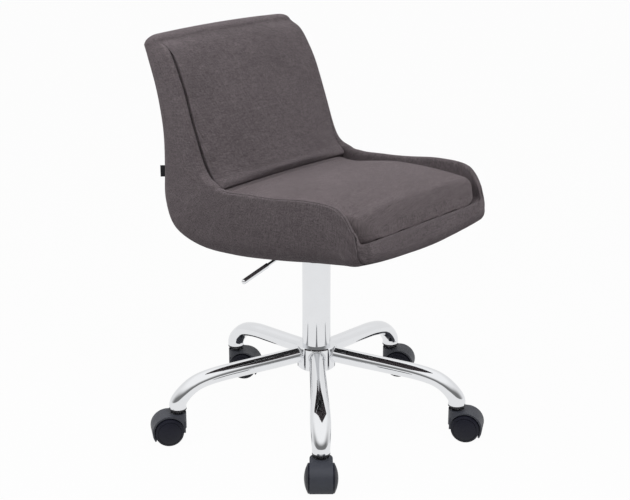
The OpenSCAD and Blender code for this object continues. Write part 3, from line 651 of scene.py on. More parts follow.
def noise(tree, vector, scale, detail=2.0, roughness=0.5):
    """Output of a noise texture."""
    return join(tree, "ShaderNodeTexNoise", {
        "Vector": vector, "Scale": scale, "Detail": detail, "Roughness": roughness}).outputs["Fac"]


def stretched(tree, vector, x, y, z=1.0):
    """A texture vector scaled by its own amount each way."""
    return first(tree, "ShaderNodeMapping", {"Vector": vector, "Scale": (x, y, z)})


def mapped(tree, value, low, high, to_low=0.0, to_high=1.0, kind="LINEAR"):
    """Output of a value carried from one range into another."""
    return first(tree, "ShaderNodeMapRange", {
        "Value": value, "From Min": low, "From Max": high, "To Min": to_low, "To Max": to_high},
        interpolation_type=kind)


def blend_colour(tree, factor, a, b, mode="MIX"):
    """Output of a colour mix."""
    return join(tree, "ShaderNodeMix", {0: factor, 6: a, 7: b}, data_type="RGBA", blend_type=mode).outputs[2]


def two_tone(tree, factor, colour, low, high):
    """Output of a mix between two tones of a colour, which are low and high times as bright."""
    return blend_colour(tree, factor, *([c * tone for c in colour] + [1] for tone in (low, high)))


def bumped(tree, height, distance, strength=1.0):
    """Normal output of a bump of so many metres."""
    return first(tree, "ShaderNodeBump", {"Height": height, "Distance": distance, "Strength": strength})


def woven_cloth(name, colour, pitch, mottle):
    """Plain-woven heather cloth: over-and-under threads, slubs along both ways and slow blotches."""
    material, tree = new_material(name)
    cloth = first(tree, "ShaderNodeUVMap", uv_map="weave")
    rate = math.pi / pitch
    split = join(tree, "ShaderNodeSeparateXYZ", {0: stretched(tree, cloth, rate, rate)}).outputs
    warp, weft = maths(tree, "SINE", split[0]), maths(tree, "SINE", split[1])
    over = maths(tree, "GREATER_THAN", maths(tree, "MULTIPLY", warp, weft))
    warp, weft = maths(tree, "ABSOLUTE", warp), maths(tree, "ABSOLUTE", weft)
    rise = maths(tree, "ADD", maths(tree, "MULTIPLY", warp, over),
                 maths(tree, "MULTIPLY", weft, maths(tree, "SUBTRACT", 1.0, over)))
    slub_along = noise(tree, stretched(tree, cloth, 700, 45), 1.0)
    slub_across = noise(tree, stretched(tree, cloth, 45, 700), 1.0)
    fleck = noise(tree, stretched(tree, cloth, 330, 260), 1.0, 3.0, 0.7)
    patch = noise(tree, stretched(tree, cloth, 75, 95), 1.0, 3.0, 0.65)
    blotch = noise(tree, stretched(tree, cloth, 11, 13), 1.0, 3.0, 0.6)
    slubs = maths(tree, "MULTIPLY", maths(tree, "ADD", slub_along, slub_across), 0.5)
    tone = maths(tree, "ADD", maths(tree, "MULTIPLY", slubs, 0.5), maths(tree, "MULTIPLY", fleck, 0.5))
    base = two_tone(tree, mapped(tree, tone, 0.40, 0.60), colour, 1 - mottle, 1 + mottle)
    for field, reach in ((patch, 0.12), (blotch, 0.09)):
        spread = mapped(tree, field, 0.32, 0.68, 1 - reach, 1 + reach)
        grey = first(tree, "ShaderNodeCombineColor", {0: spread, 1: spread, 2: spread})
        base = blend_colour(tree, 1.0, base, grey, "MULTIPLY")
    depth = maths(tree, "MULTIPLY_ADD", rise, 0.6, maths(tree, "MULTIPLY", slubs, 0.9))
    return finish_material(material, {
        "Base Color": base, "Roughness": 0.9, "Specular IOR Level": 0.15, "Sheen Weight": 0.3,
        "Sheen Roughness": 0.4, "Sheen Tint": (0.78, 0.68, 0.72, 1), "Normal": bumped(tree, depth, 0.0004)})


def grained(name, colour, low, high, scale, detail=2.0, roughness=0.5, stretch=(1, 1, 1),
            relief=0.0001, strength=1.0, gloss=0.7, metal=0.0, sheen=0.0):
    """Finish whose tone and relief follow one noise: thread, folded tape, turned metal or powder coat.

    The tone lies between low and high times the colour. Detail and roughness are the noise's, relief
    and strength are the bump's, and gloss is the surface's own roughness.
    """
    material, tree, place = solid_material(name)
    grain = noise(tree, stretched(tree, place, *stretch), scale, detail, roughness)
    return finish_material(material, {
        "Base Color": two_tone(tree, grain, colour, low, high), "Roughness": gloss, "Metallic": metal,
        "Sheen Weight": sheen, "Normal": bumped(tree, grain, relief, strength)})


def chrome(name, colour, polish):
    """Plated and polished tube with a faint orange peel and wiping haze."""
    material, tree, place = solid_material(name)
    haze = noise(tree, place, 35.0, 3.0)
    peel = noise(tree, place, 420.0, 1.0)
    return finish_material(material, {
        "Base Color": two_tone(tree, haze, colour, 1.0, 0.96), "Metallic": 1.0,
        "Roughness": mapped(tree, haze, 0.35, 0.7, polish, polish * 2.2),
        "Normal": bumped(tree, peel, 0.00002, 0.5)})


def moulded(name, colour, roughness, grain, gloss_level=0.45):
    """Moulded nylon with a fine spark-eroded grain and slightly rubbed high spots."""
    material, tree, place = solid_material(name)
    spark = noise(tree, place, grain, 3.0, 0.6)
    rub = noise(tree, place, 60.0, 4.0, 0.6)
    return finish_material(material, {
        "Base Color": two_tone(tree, rub, colour, 0.85, 1.2),
        "Roughness": mapped(tree, rub, 0.3, 0.7, roughness - 0.06, roughness + 0.08),
        "Specular IOR Level": gloss_level, "Normal": bumped(tree, spark, 0.00006, 0.8)})


def plywood(name, colour):
    """Layers of veneer that show on the board's edge, with grain along them."""
    material, tree, place = solid_material(name)
    height = join(tree, "ShaderNodeSeparateXYZ", {0: place}).outputs[2]
    layers = maths(tree, "SINE", maths(tree, "MULTIPLY", height, math.pi / VENEER))
    dark = maths(tree, "MULTIPLY", maths(tree, "GREATER_THAN", layers), 0.4)
    grain = noise(tree, stretched(tree, place, 12, 160, 160), 1.0, 3.0)
    mixed = maths(tree, "MULTIPLY_ADD", grain, 0.5, dark)
    return finish_material(material, {
        "Base Color": two_tone(tree, mixed, colour, 0.55, 1.0), "Roughness": 0.75,
        "Normal": bumped(tree, grain, 0.0002)})


# ---------- Sizes and colours that a user would change ----------

COLOUR = {"size": 3, "subtype": "COLOR", "min": 0, "max": 1}


class UpholsteryLooks(bpy.types.PropertyGroup):
    """Cloth, padding and seams of the seat."""

    shell_colour: FloatVectorProperty(
        name="Shell cloth", description="Colour of the cloth on the shell",
        default=(0.108, 0.0915, 0.097), **COLOUR)
    cushion_colour: FloatVectorProperty(
        name="Cushion cloth", description="Colour of the cloth on the seat cushion",
        default=(0.114, 0.0955, 0.100), **COLOUR)
    thread_pitch: FloatProperty(
        name="Thread pitch", description="Distance between neighbouring threads of the weave",
        default=0.0009, min=0.0003, max=0.003, unit="LENGTH")
    mottle: FloatProperty(
        name="Heather", description="How far the threads' tones lie apart",
        default=0.34, min=0.0, max=0.8, subtype="FACTOR")
    # Dark thread in the rim seams: the sewing thread, and also a painted shade line that stands for the
    # shadow in each seam's dip
    seam_thread_shade_colour: FloatVectorProperty(
        name="Sewing thread", description="Colour of the thread in the seams",
        default=(0.030, 0.024, 0.026), **COLOUR)
    cushion_swell: FloatProperty(
        name="Cushion swell", description="Most that the simulated foam pushes the cushion's cover out",
        default=0.005, min=0.0, max=0.02, unit="LENGTH")
    pad_swell: FloatProperty(
        name="Back pad swell", description="Most that the simulated foam pushes the back pad's cover out",
        default=0.004, min=0.0, max=0.02, unit="LENGTH")
    seam_depth: FloatProperty(
        name="Seam depth", description="Depth of a sewn seam under the cloth round it",
        default=0.0017, min=0.0, max=0.004, unit="LENGTH")
    seam_width: FloatProperty(
        name="Seam width", description="Half width of the trough at a sewn seam",
        default=0.0016, min=0.001, max=0.006, unit="LENGTH")
    stitch_pitch: FloatProperty(
        name="Stitch pitch", description="Distance from one stitch to the next",
        default=0.0042, min=0.002, max=0.01, unit="LENGTH")


class BaseLooks(bpy.types.PropertyGroup):
    """Chromed tube of the base and the column."""

    chrome_colour: FloatVectorProperty(
        name="Chrome", description="Colour of the plating",
        default=(0.86, 0.87, 0.89), **COLOUR)
    polish: FloatProperty(
        name="Haze", description="Roughness of the cleanest plating",
        default=0.035, min=0.0, max=0.3, subtype="FACTOR")
    weld_radius: FloatProperty(
        name="Weld bead", description="Radius of the plated weld bead between hub and arm",
        default=0.0016, min=0.0005, max=0.004, unit="LENGTH")


class CasterLooks(bpy.types.PropertyGroup):
    """Moulded parts of the casters."""

    hood_colour: FloatVectorProperty(
        name="Hood", description="Colour of the hoods over the wheels",
        default=(0.041, 0.044, 0.056), **COLOUR)
    wheel_colour: FloatVectorProperty(
        name="Wheel", description="Colour of the wheels",
        default=(0.0105, 0.011, 0.019), **COLOUR)


class StageLooks(bpy.types.PropertyGroup):
    """Floor, backdrop, lights and camera."""

    key_power: FloatProperty(
        name="Key light", description="Power of the large light over the stool, in watts",
        default=25.0, min=0.0, max=500.0)
    side_power: FloatProperty(
        name="Side light", description="Power of the light beside the back, in watts",
        default=7.5, min=0.0, max=500.0)
    sky_strength: FloatProperty(
        name="Room light", description="Strength of the even light from all round",
        default=0.37, min=0.0, max=3.0)


def looks(part):
    """Settings of the upholstery, the base, the casters or the stage."""
    return getattr(bpy.context.scene, "stool_" + part)


def shared(name, make, *args, **finish):
    """A material made once and used by several pieces."""
    return bpy.data.materials.get(name) or make(name, *args, **finish)


def heather(part, colour):
    """Woven cloth of a part of the seat, in its colour."""
    cloth = looks("upholstery")
    return shared(f"Heather cloth, {part}", woven_cloth, colour, cloth.thread_pitch, cloth.mottle)


def shell_cloth():
    """Cloth of the shell and the back pad."""
    return heather("shell", looks("upholstery").shell_colour)


def cushion_cloth():
    """Cloth of the seat cushion."""
    return heather("cushion", looks("upholstery").cushion_colour)


def thread():
    """Dark thread of the shell's rim seams: sewing thread, and a painted shade line in each seam's dip."""
    return shared("Sewing thread", grained, looks("upholstery").seam_thread_shade_colour, 0.7, 1.3, 1500.0)


def cushion_thread():
    """Thread of the cushion's top stitching, close to the cloth's own colour."""
    colour = [0.6 * c for c in looks("upholstery").cushion_colour]
    return shared("Cushion thread", grained, colour, 0.7, 1.3, 1500.0)


def plating():
    """Chrome of the base, column and lever."""
    base = looks("base")
    return shared("Polished chrome", chrome, base.chrome_colour, base.polish)


# ---------- Seat ----------

def place_list(start=0.0, end=float(LAST), extra=()):
    """Places along the seat about RING_SPACING apart, and the extra ones, between two ends."""
    places = list(extra)
    for i in range(LAST):
        a, b = SECTIONS[i], SECTIONS[i + 1]
        reach = max(math.dist(spot(i, 0, a[8]), spot(i + 1, 0, b[8])),
                    math.dist(spot(i, 0, 0), spot(i + 1, 0, 0))) / MM
        count = max(4, round(reach / RING_SPACING))
        places += [i + k / count for k in range(count)]
    kept = [start]
    for u in sorted(places) + [end]:
        if start < u <= end and (u - kept[-1] > LEAST_STEP or u in extra):
            kept.append(u)
    return kept


def quarter_draw(distance, radius):
    """How far a quarter round of a radius lies inside its face, at a distance from its end."""
    near = max(0.0, radius - max(distance, 0.0))
    return radius - math.sqrt(radius ** 2 - near ** 2)


def shell_ring(u, roll=0.0):
    """Ring of the shell at a place: right round the outside, then back along the inside."""
    s = row(SECTIONS, u).copy()
    least = s[8] + LIP_WALL
    s[4] = least + (s[4] - least) * eased(u, CORNER_SEAM - 0.3, CORNER_SEAM + 0.35)
    seam = looks("upholstery").seam_depth / MM
    seam *= eased(u, CORNER_SEAM - 0.1, CORNER_SEAM + 0.1) * (1 - eased(u, 7.6, 9.2))
    bulge = WALL_BULGE * (1 - eased(u, 12, LAST))
    halves = []
    for (ox, on), (ix, inn) in zip(*shell_halves(s, bulge, seam)):
        reach = math.hypot(ix - ox, inn - on)
        draw = quarter_draw(SECTIONS[0][0] - s[0], min(LIP_ROUND, reach * 0.42)) / max(reach, 1e-6)
        halves.append(((ox + (ix - ox) * draw, on + (inn - on) * draw),
                       (ix + (ox - ix) * draw, inn + (on - inn) * draw)))
    outer, inner = ([(-x, n) for x, n in half[:0:-1]] + list(half) for half in zip(*halves))
    return [spot(u, x, n, roll) for x, n in outer + inner[::-1]]


def front_corner(side):
    """Seam up a front corner of the shell."""
    s = row(SECTIONS, CORNER_SEAM)
    return [spot(CORNER_SEAM, side * x, n) for x, n in shell_halves(s)[0] if x > s[3] * 0.6]


def rear_corner(side):
    """Seam up a rear corner of the shell, along the middle of its rounding."""
    path = []
    for u in np.linspace(REAR_SEAM, LAST, 60):
        s = row(SECTIONS, u)
        drop = s[6] * (1 - math.sin(math.radians(45)))
        path.append(spot(u, side * (s[3] - drop), drop))
    return path


def rim_seam(side):
    """Seam along the rim of a side wall, from the back to the front corner and down it."""
    at = FLAT_COUNT + ROUND_COUNT + WALL_COUNT
    left = at + len(RIM_ANGLES) - 1
    path = []
    for u in np.linspace(8.6, CORNER_SEAM + 0.05, 110):
        x, y, z = shell_ring(u)[left + at + RIM_ANGLES.index(RIM_SEAM)]
        path.append((side * x, y, z))
    return path + front_corner(side)[::-1][4:]


def cut_recess(piece):
    """Cuts the recess for the seat plate and the lining into the shell's underside."""
    lo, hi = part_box("under_cloth")
    work = bmesh.new()
    bmesh.ops.create_cube(work, size=1.0)
    for v in work.verts:
        v.co.x = (lo.x - RECESS_MARGIN) if v.co.x < 0 else (hi.x + RECESS_MARGIN)
        v.co.y = (lo.y - RECESS_MARGIN) if v.co.y < 0 else (hi.y + RECESS_MARGIN)
        v.co.z = hi.z - RECESS_DEPTH if v.co.z < 0 else hi.z
    uprights = [e for e in work.edges if abs(e.verts[0].co.z - e.verts[1].co.z) > 0.01]
    bmesh.ops.bevel(work, geom=uprights, offset=RECESS_CORNER, segments=8, profile=0.5, affect="EDGES")
    mesh = bpy.data.meshes.new("recess_tool")
    work.to_mesh(mesh)
    work.free()
    tool = placed("recess_tool", mesh)
    cut = piece.modifiers.new("recess", "BOOLEAN")
    cut.object = tool
    cut.operation = "DIFFERENCE"
    cut.solver = "EXACT"
    bake_modifiers(piece)
    bpy.data.objects.remove(tool)


def pair_ring(u, lower, upper, roll=0.0):
    """Ring of a cushion at a place through both of its half outlines."""
    return [spot(u, x, n, roll) for x, n in mirrored(lower) + mirrored(upper)[::-1]]


def cushion_ring(u, side_draw, top_draw, ease):
    """Ring of the seat cushion at a place, drawn in at the sides and on top."""
    s = row(SECTIONS, u)
    w = s[3] - s[7] - 2 * CUSHION_GAP - side_draw
    return pair_ring(u, *pad_halves(w, s[8] + CUSHION_GAP, s[9] - top_draw, CUSHION_CROWN, CUSHION_EDGE,
                                    fillet(s), ease))


def pad_ring(u, side_draw, top_draw, ease=0.0, roll=0.0):
    """Ring of the back pad at a place: it overhangs the wings, and its top corners lie down on them."""
    s = row(SECTIONS, u)
    spread = eased(u, 13.6, LAST)
    stand = s[10] * PAD_STAND * (1 - 0.75 * spread)
    tuck = 1 + 0.8 * eased(u, 9.3, 10.8)
    w = s[3] - s[7] - 2 * CUSHION_GAP - side_draw - tuck
    edge = s[4] + stand
    crown = max(s[9] - edge, 3)
    foot = s[8] + CUSHION_GAP * (1 + 4 * (1 - math.cos(roll)))
    return pair_ring(u, *pad_halves(w, foot, edge + crown - top_draw, crown, PAD_EDGE, fillet(s), ease,
                                    tuck + spread * (s[7] - 2.5), s[4] + 0.5), roll)


def mirrored_shares(half):
    """The shares of a half outline from +x to the middle, for a whole one from -x to +x."""
    return half + [half[-1]] + half[::-1]


def outline_shares(free):
    """How firmly the points of a cushion's ring are held, free on top by so much and held below."""
    lower = [1.0] * (SIDE_COUNT + EDGE_COUNT + TOP_COUNT)
    half = [1 - (1 - share) * free for share in SIDE_SHARES + EDGE_SHARES + [0.0] * TOP_COUNT]
    return mirrored_shares(lower) + mirrored_shares(half)[::-1]


def seam_distance(u):
    """Distance in millimetres from a place on top of a cushion to the seam between the two."""
    return math.dist(spot(u, 0, row(SECTIONS, u)[9]), spot(SEAM, 0, row(SECTIONS, SEAM)[9])) / MM


def seam_tuck(u, radius):
    """How far a cushion draws in at a place, to round off by a radius towards the seam."""
    return quarter_draw(seam_distance(u), radius)


def surface_path(piece, points):
    """The nearest places on a piece to a row of points."""
    tree = BVHTree.FromObject(piece, bpy.context.evaluated_depsgraph_get())
    return [tree.find_nearest(Vector(p))[0] for p in points]


def waver(piece):
    """Lets the lower front edge of the cushion wander a little, as cloth pulled over foam does."""
    lo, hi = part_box("seat_cushion")
    for v in piece.data.vertices:
        near = math.exp(-((v.co.y - lo.y) / WAVER_REACH) ** 2)
        wave = math.sin(v.co.x * 95 + 0.6) + 0.6 * math.sin(v.co.x * 210 + 2.0) + 0.3 * math.sin(v.co.x * 37)
        low = 1 - 0.6 * eased((v.co.z - lo.z) / (hi.z - lo.z), 0.4, 0.8)
        v.co.z += WAVER_HEIGHT * wave * near * low
    piece.data.update()


class STOOL_OT_shell(bpy.types.Operator):
    """Makes the upholstered cover of the bucket shell"""

    bl_idname = "stool.shell"
    bl_label = "Shell Cover"

    def execute(self, context):
        cloth = looks("upholstery")
        near_corner = [CORNER_SEAM + d for d in (-0.12, -0.08, -0.04, -0.02, 0.0, 0.02, 0.04, 0.08, 0.12)]
        rings = [shell_ring(u) for u in place_list(extra=near_corner)]
        rings += [shell_ring(LAST, a) for a in TOP_ANGLES]
        cover = closed_loft("shell_cover", rings, 4)
        ripple(cover, 0.0004, 0.05)
        for side in (-1, 1):
            for path in (front_corner(side), rear_corner(side)):
                groove(cover, dense(path, 0.001), cloth.seam_width, cloth.seam_depth)
        cut_recess(cover)
        smooth(cover.data)
        cover.data.materials.append(shell_cloth())
        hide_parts("seat_shell")
        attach(cover, "seat")
        return {"FINISHED"}


class STOOL_OT_seams(bpy.types.Operator):
    """Lays a dark thread into the seam along each rim and down each front corner: sewing thread, and a
    painted shade line in the seam's dip
    """

    bl_idname = "stool.seams"
    bl_label = "Rim Seams"

    def execute(self, context):
        cover = bpy.data.objects["shell_cover"]
        tree = tube_tree()
        for side, name in ((-1, "near_rim_seam_thread_shade"), (1, "far_rim_seam_thread_shade")):
            path = surface_path(cover, dense(rim_seam(side), 0.0015))
            # The cord's dark colour draws the seam's shadow line: painted shade as well as sewing thread
            seam = laid_along(name, path, tree, {
                "Radius": THREAD_RADIUS, "Ripple": 0.2, "Pitch": TWIST_PITCH, "Material": thread()})
            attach(seam, "seat")
        return {"FINISHED"}


class STOOL_OT_cushion(bpy.types.Operator):
    """Makes the seat cushion, swollen by its foam and sewn across its front"""

    bl_idname = "stool.cushion"
    bl_label = "Seat Cushion"

    def execute(self, context):
        cloth = looks("upholstery")
        slack = cloth.cushion_swell / MM * 0.55
        front = row(SECTIONS, CUSHION_START)[0]
        rings, shares = [], []
        for u in place_list(CUSHION_START, SEAM - CUSHION_PLACES[0], [SEAM - d for d in CUSHION_PLACES[1:]]):
            ahead = front - row(SECTIONS, u)[0]
            free = eased(SEAM - u, 0.0, 0.7) * eased(u, CUSHION_START, 4.0)
            side = quarter_draw(ahead, FRONT_CORNER) + FRONT_DRAW * (1 - eased(u, 1.5, 4.5))
            side = side + 0.7 * seam_tuck(u, CORNER_ROUND) + slack * 0.3
            tuck = seam_tuck(u, CUSHION_ROUND)
            valley = VALLEY_DROP * (1 - eased(seam_distance(u), 0.0, VALLEY_REACH))
            top = quarter_draw(ahead, FRONT_EDGE) + tuck + valley + slack * free
            rings.append(cushion_ring(u, side, top, 0.15 * tuck))
            shares.append(outline_shares(free))
        cushion = foam_cover("cushion_cover", rings, shares, 12, cloth.cushion_swell)
        waver(cushion)
        above = row(SECTIONS, FRONT_SEAM)[9] + 4
        path = [spot(FRONT_SEAM, x, above) for x in np.linspace(-SEAM_HALF, SEAM_HALF, 74)]
        path = surface_path(cushion, path)
        for offset in (-TWIN_GAP, TWIN_GAP):
            groove(cushion, [p + Vector((0, offset, 0.3 * offset)) for p in path],
                   cloth.seam_width, cloth.seam_depth * 1.1, 0.3)
        cushion.data.materials.append(cushion_cloth())
        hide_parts("seat_cushion")
        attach(cushion, "seat")
        stitches = laid_along("cushion_front_stitches", surface_path(cushion, path), stitch_tree(), {
            "Pitch": cloth.stitch_pitch, "Thread": STITCH_RADIUS, "Share": 0.72,
            "Material": cushion_thread()})
        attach(stitches, "seat")
        return {"FINISHED"}


class STOOL_OT_back_pad(bpy.types.Operator):
    """Makes the back pad between the wings, rolled over the top of the shell"""

    bl_idname = "stool.back_pad"
    bl_label = "Back Pad"

    def execute(self, context):
        cloth = looks("upholstery")
        slack = cloth.pad_swell / MM * 0.5
        rings, shares = [], []
        for u in place_list(SEAM + PAD_PLACES[0], LAST, [SEAM + d for d in PAD_PLACES[1:]]):
            tuck = seam_tuck(u, PAD_ROUND)
            free = (1 - eased(u, 11.5, LAST - 0.2)) * eased(u - SEAM, 0.4, 1.5)
            rings.append(pad_ring(u, 0.5 * tuck, tuck + 0.4 * slack * free, 0.15 * tuck))
            shares.append(outline_shares(free))
        for a in TOP_ANGLES:
            rings.append(pad_ring(LAST, 6 * a / math.pi, 0.0, 0.0, a))
            shares.append(outline_shares(0.0))
        pad = foam_cover("back_pad_cover", rings, shares, 10, cloth.pad_swell)
        pad.data.materials.append(shell_cloth())
        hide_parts("back_pad")
        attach(pad, "seat")
        return {"FINISHED"}


# ---------- Base ----------

def between(k, hub, bend, end):
    """Value on the way from the hub over the bend to the end of an arm."""
    return hub + (bend - hub) * k if k < 1 else bend + (end - bend) * (k - 1)


def arm_spot(u):
    """Reach, height and tube place of an arm's middle line."""
    p = row(ARM_LINE, u)
    return p[0] * BASE_RADIUS, ARM_END_Z + p[1] * (ARM_ROOT_Z - ARM_END_Z), p[2]


def arm_turn(i):
    """Bearing of arm i, from 1 to 5, in radians."""
    return math.radians(BASE_TURN + 72 * (i - 1))


def arm_place(turn, reach, across, height):
    """Point in metres at a reach along an arm's bearing, so far across it and so high."""
    return (MM * (reach * math.cos(turn) - across * math.sin(turn)),
            MM * (reach * math.sin(turn) + across * math.cos(turn)), MM * height)


def arm_ring(u, inset, turn):
    """Ring of an arm's tube in metres, drawn in by an inset."""
    reach, height, k = arm_spot(u)
    a, b = arm_spot(max(u - 0.05, 0)), arm_spot(min(u + 0.05, ARM_LAST))
    run, fall = b[0] - a[0], b[1] - a[1]
    length = math.hypot(run, fall)
    run, fall = (0.0, -1.0) if u > ARM_LAST - 1 else (run / length, fall / length)
    w = between(k, *ARM_WIDTHS) / 2 - inset
    h = between(k, *ARM_DEPTHS) / 2 - inset
    ring = []
    for c in np.arange(ARM_SIDES) * math.tau / ARM_SIDES:
        deep = h * math.cos(c)
        ring.append(arm_place(turn, reach - fall * deep, w * math.sin(c), height + run * deep))
    return ring


def weld_path(turn):
    """Path round the root of an arm, on the hub's round face."""
    path = []
    for c in np.linspace(0, math.tau, 72, endpoint=False):
        across = ARM_WIDTHS[0] / 2 * math.sin(c)
        reach = math.sqrt(HUB_RADIUS ** 2 - across ** 2) + 0.5
        path.append(arm_place(turn, reach, across, ARM_ROOT_Z + ARM_DEPTHS[0] / 2 * math.cos(c)))
    return path


class STOOL_OT_arms(bpy.types.Operator):
    """Makes the five bent arms of the base as smooth plated tubes"""

    bl_idname = "stool.arms"
    bl_label = "Base Arms"

    def execute(self, context):
        for i in range(1, 6):
            turn = arm_turn(i)
            rings = [arm_ring(u, 0.0, turn) for u in np.linspace(0, ARM_LAST, 91)]
            rings += [arm_ring(ARM_LAST, d, turn) for d in (0.5, 1.0, ARM_WALL)]
            rings += [arm_ring(u, ARM_WALL, turn) for u in (ARM_LAST - 0.3, ARM_LAST - 0.8)]
            arm = closed_loft(f"arm_tube_{i}", rings, 4)
            arm.data.materials.append(plating())
            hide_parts(f"base_arm_{i}")
            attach(arm, "base")
        return {"FINISHED"}


class STOOL_OT_welds(bpy.types.Operator):
    """Makes the plated weld beads where the arms meet the hub"""

    bl_idname = "stool.welds"
    bl_label = "Weld Beads"

    def execute(self, context):
        bead = looks("base").weld_radius
        tree = tube_tree()
        for i in range(1, 6):
            weld = laid_along(f"weld_bead_{i}", weld_path(arm_turn(i)), tree, {
                "Radius": bead, "Ripple": 0.14, "Pitch": WELD_PITCH, "Material": plating()}, closed=True)
            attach(weld, "base")
        return {"FINISHED"}


class STOOL_OT_hardware(bpy.types.Operator):
    """Gives every part of the frame its finish"""

    bl_idname = "stool.hardware"
    bl_label = "Frame Finishes"

    def execute(self, context):
        casters = looks("casters")
        lathe = {"low": 0.8, "high": 1.0, "scale": 1.0, "stretch": (30, 30, 2500), "relief": 0.00005,
                 "metal": 1.0}
        fibre = {"low": 0.6, "high": 1.5, "detail": 4.0, "roughness": 0.7, "relief": 0.0003,
                 "gloss": 0.9, "sheen": 0.2}
        black = (0.02, 0.02, 0.022)
        finishes = {
            "chrome": plating(),
            "lever_steel": plating(),
            "steel": shared("Zinc-bright steel", grained, (0.6, 0.6, 0.62), gloss=0.3, **lathe),
            "aluminium": shared("Turned aluminium", grained, (0.7, 0.7, 0.72), gloss=0.35, **lathe),
            "black_paint": shared("Black powder coat", grained, black, 0.9, 1.2, 900.0,
                                  strength=0.6, gloss=0.5),
            "black_nylon": shared("Black nylon", moulded, black, 0.5, 1500.0),
            "hood_nylon": shared("Hood nylon", moulded, casters.hood_colour, 0.5, 1400.0),
            "wheel_nylon": shared("Wheel nylon", moulded, casters.wheel_colour, 0.42, 1800.0, 0.25),
            "plywood": shared("Birch plywood", plywood, (0.62, 0.46, 0.30)),
            "lining": shared("Black lining", grained, (0.015, 0.015, 0.015), scale=700.0, **fibre),
            "tab_fabric": shared("Black tape", grained, (0.012, 0.012, 0.014), scale=900.0, **fibre),
            "shell_fabric": shell_cloth(),
            "pad_fabric": shell_cloth(),
            "cushion_fabric": cushion_cloth(),
        }
        for part in frame["record"]["subparts"]:
            node = frame["nodes"][part["node"]]
            node.data.materials.clear()
            node.data.materials.append(finishes[part["material_slot"]])
        return {"FINISHED"}


# ---------- Stage ----------

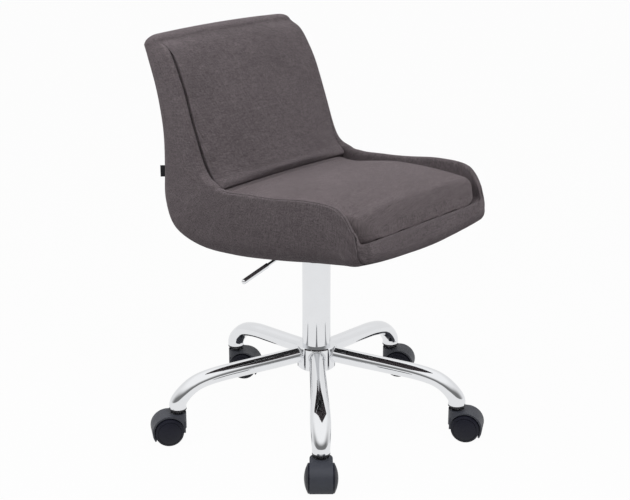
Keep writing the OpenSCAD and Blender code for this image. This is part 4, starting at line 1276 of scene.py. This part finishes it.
class STOOL_OT_stage(bpy.types.Operator):
    """Sets up the pale floor, the studio lights and the camera"""

    bl_idname = "stool.stage"
    bl_label = "Stage"

    def execute(self, context):
        stage = looks("stage")
        context.scene.view_settings.view_transform = "Standard"
        self.floor()
        context.scene.world = self.room(stage.sky_strength)
        self.lamp("key_light", (-0.48, -0.92, 1.92), (0, 0, 0.45), 1.2, stage.key_power)
        self.lamp("side_light", (-0.95, 0.5, 1.3), (0, 0, 0.5), 0.7, stage.side_power)
        context.scene.camera = self.camera()
        return {"FINISHED"}

    def camera(self):
        """Camera that looks at the stool from its front right, as the photo's does."""
        camera = bpy.data.cameras.new("camera")
        camera.sensor_width = SENSOR
        camera.lens = FOCAL_LENGTH * SENSOR / PICTURE_WIDTH
        camera.shift_x = CAMERA_SHIFT / PICTURE_WIDTH
        bearing, rise = math.radians(CAMERA_BEARING), math.radians(CAMERA_RISE)
        flat = math.cos(rise)
        back = Vector((math.sin(bearing) * flat, -math.cos(bearing) * flat, math.sin(rise)))
        eye = placed("camera", camera)
        eye.location = Vector((0, 0, CAMERA_AIM)) + back * CAMERA_DISTANCE
        eye.rotation_euler = (-back).to_track_quat("-Z", "Y").to_euler()
        return eye

    def floor(self):
        """Pale floor that keeps a soft shadow."""
        mesh = bpy.data.meshes.new("floor")
        corners = [(x * FLOOR_REACH, y * FLOOR_REACH, 0) for x, y in ((-1, -1), (1, -1), (1, 1), (-1, 1))]
        mesh.from_pydata(corners, [], [(0, 1, 2, 3)])
        material, tree = new_material("Pale floor")
        paths = join(tree, "ShaderNodeLightPath").outputs
        plain = first(tree, "ShaderNodeBsdfDiffuse", {"Color": (0.5, 0.5, 0.5, 1)})
        white = maths(tree, "MULTIPLY_ADD", paths["Is Glossy Ray"], -0.1, 1.0)
        glow = first(tree, "ShaderNodeEmission", {"Color": (1, 1, 1, 1), "Strength": white})
        seen = maths(tree, "MAXIMUM", paths["Is Camera Ray"], paths["Is Glossy Ray"])
        share = maths(tree, "MULTIPLY", seen, 0.97)
        mixed = first(tree, "ShaderNodeMixShader", {0: share, 1: plain, 2: glow})
        join(tree, "ShaderNodeOutputMaterial", {"Surface": mixed})
        mesh.materials.append(material)
        placed("floor", mesh)

    def room(self, strength):
        """White backdrop with an even light from all round, and the dim end of the studio for gloss."""
        world = bpy.data.worlds.new("room")
        world.use_nodes = True
        tree = world.node_tree
        tree.nodes.clear()
        paths = join(tree, "ShaderNodeLightPath").outputs
        glossy = paths["Is Glossy Ray"]
        seen = maths(tree, "MAXIMUM", paths["Is Camera Ray"],
                     maths(tree, "MAXIMUM", glossy, paths["Is Transmission Ray"]))
        place = join(tree, "ShaderNodeTexCoord").outputs["Generated"]
        way = join(tree, "ShaderNodeSeparateXYZ", {0: place}).outputs
        ahead = maths(tree, "ADD", *(maths(tree, "MULTIPLY", way[i], DIM_END[i]) for i in (0, 1)))
        dim = glossy
        for value, start, full in ((way[2], 0.0, 0.08), (way[2], 0.75, 0.35), (ahead, -0.35, 0.55)):
            dim = maths(tree, "MULTIPLY", dim, mapped(tree, value, start, full, kind="SMOOTHSTEP"))
        height = mapped(tree, way[2], 0.35, 0.8, kind="SMOOTHSTEP")
        plain = maths(tree, "MULTIPLY_ADD", maths(tree, "SUBTRACT", 1.0, height), -0.16, 1.0)
        soft = maths(tree, "MAXIMUM", plain, maths(tree, "SUBTRACT", 1.0, glossy))
        tone = maths(tree, "MULTIPLY_ADD", dim, -0.65, soft)
        backdrop = first(tree, "ShaderNodeBackground", {"Color": (1, 1, 1, 1), "Strength": tone})
        light = first(tree, "ShaderNodeBackground", {"Color": (1, 1, 1, 1), "Strength": strength})
        mixed = first(tree, "ShaderNodeMixShader", {0: seen, 1: light, 2: backdrop})
        join(tree, "ShaderNodeOutputWorld", {"Surface": mixed})
        return world

    def lamp(self, name, place, aim, size, power):
        """Square soft light that shows in no reflection."""
        light = bpy.data.lights.new(name, "AREA")
        light.energy = power
        light.size = size
        lamp = placed(name, light)
        lamp.location = place
        lamp.rotation_euler = (Vector(aim) - Vector(place)).to_track_quat("-Z", "Y").to_euler()
        lamp.visible_glossy = False


class STOOL_PT_looks(bpy.types.Panel):
    """Lists the stool's pieces and their sizes and colours"""

    bl_idname = "STOOL_PT_looks"
    bl_label = "Swivel Stool"
    bl_space_type = "VIEW_3D"
    bl_region_type = "UI"
    bl_category = "Stool"

    def draw(self, context):
        for name in GROUPS:
            group = getattr(context.scene, name)
            box = self.layout.box()
            for key in group.__annotations__:
                box.prop(group, key)
        for operator in OPERATORS:
            self.layout.operator(operator.bl_idname)


GROUPS = {"stool_upholstery": UpholsteryLooks, "stool_base": BaseLooks,
          "stool_casters": CasterLooks, "stool_stage": StageLooks}
OPERATORS = (STOOL_OT_stage, STOOL_OT_hardware, STOOL_OT_shell, STOOL_OT_seams, STOOL_OT_cushion,
             STOOL_OT_back_pad, STOOL_OT_arms, STOOL_OT_welds)


def register():
    """Registers the add-on's classes and its settings on the scene."""
    for cls in (*GROUPS.values(), *OPERATORS, STOOL_PT_looks):
        bpy.utils.register_class(cls)
    for name, cls in GROUPS.items():
        setattr(bpy.types.Scene, name, PointerProperty(type=cls))


def unregister():
    """Takes the settings and classes away again."""
    for name in GROUPS:
        delattr(bpy.types.Scene, name)
    for cls in (STOOL_PT_looks, *reversed(OPERATORS), *GROUPS.values()):
        bpy.utils.unregister_class(cls)


def main():
    """Makes every piece."""
    register()
    for operator in OPERATORS:
        group, name = operator.bl_idname.split(".")
        getattr(getattr(bpy.ops, group), name)()


if __name__ == "__main__":
    main()
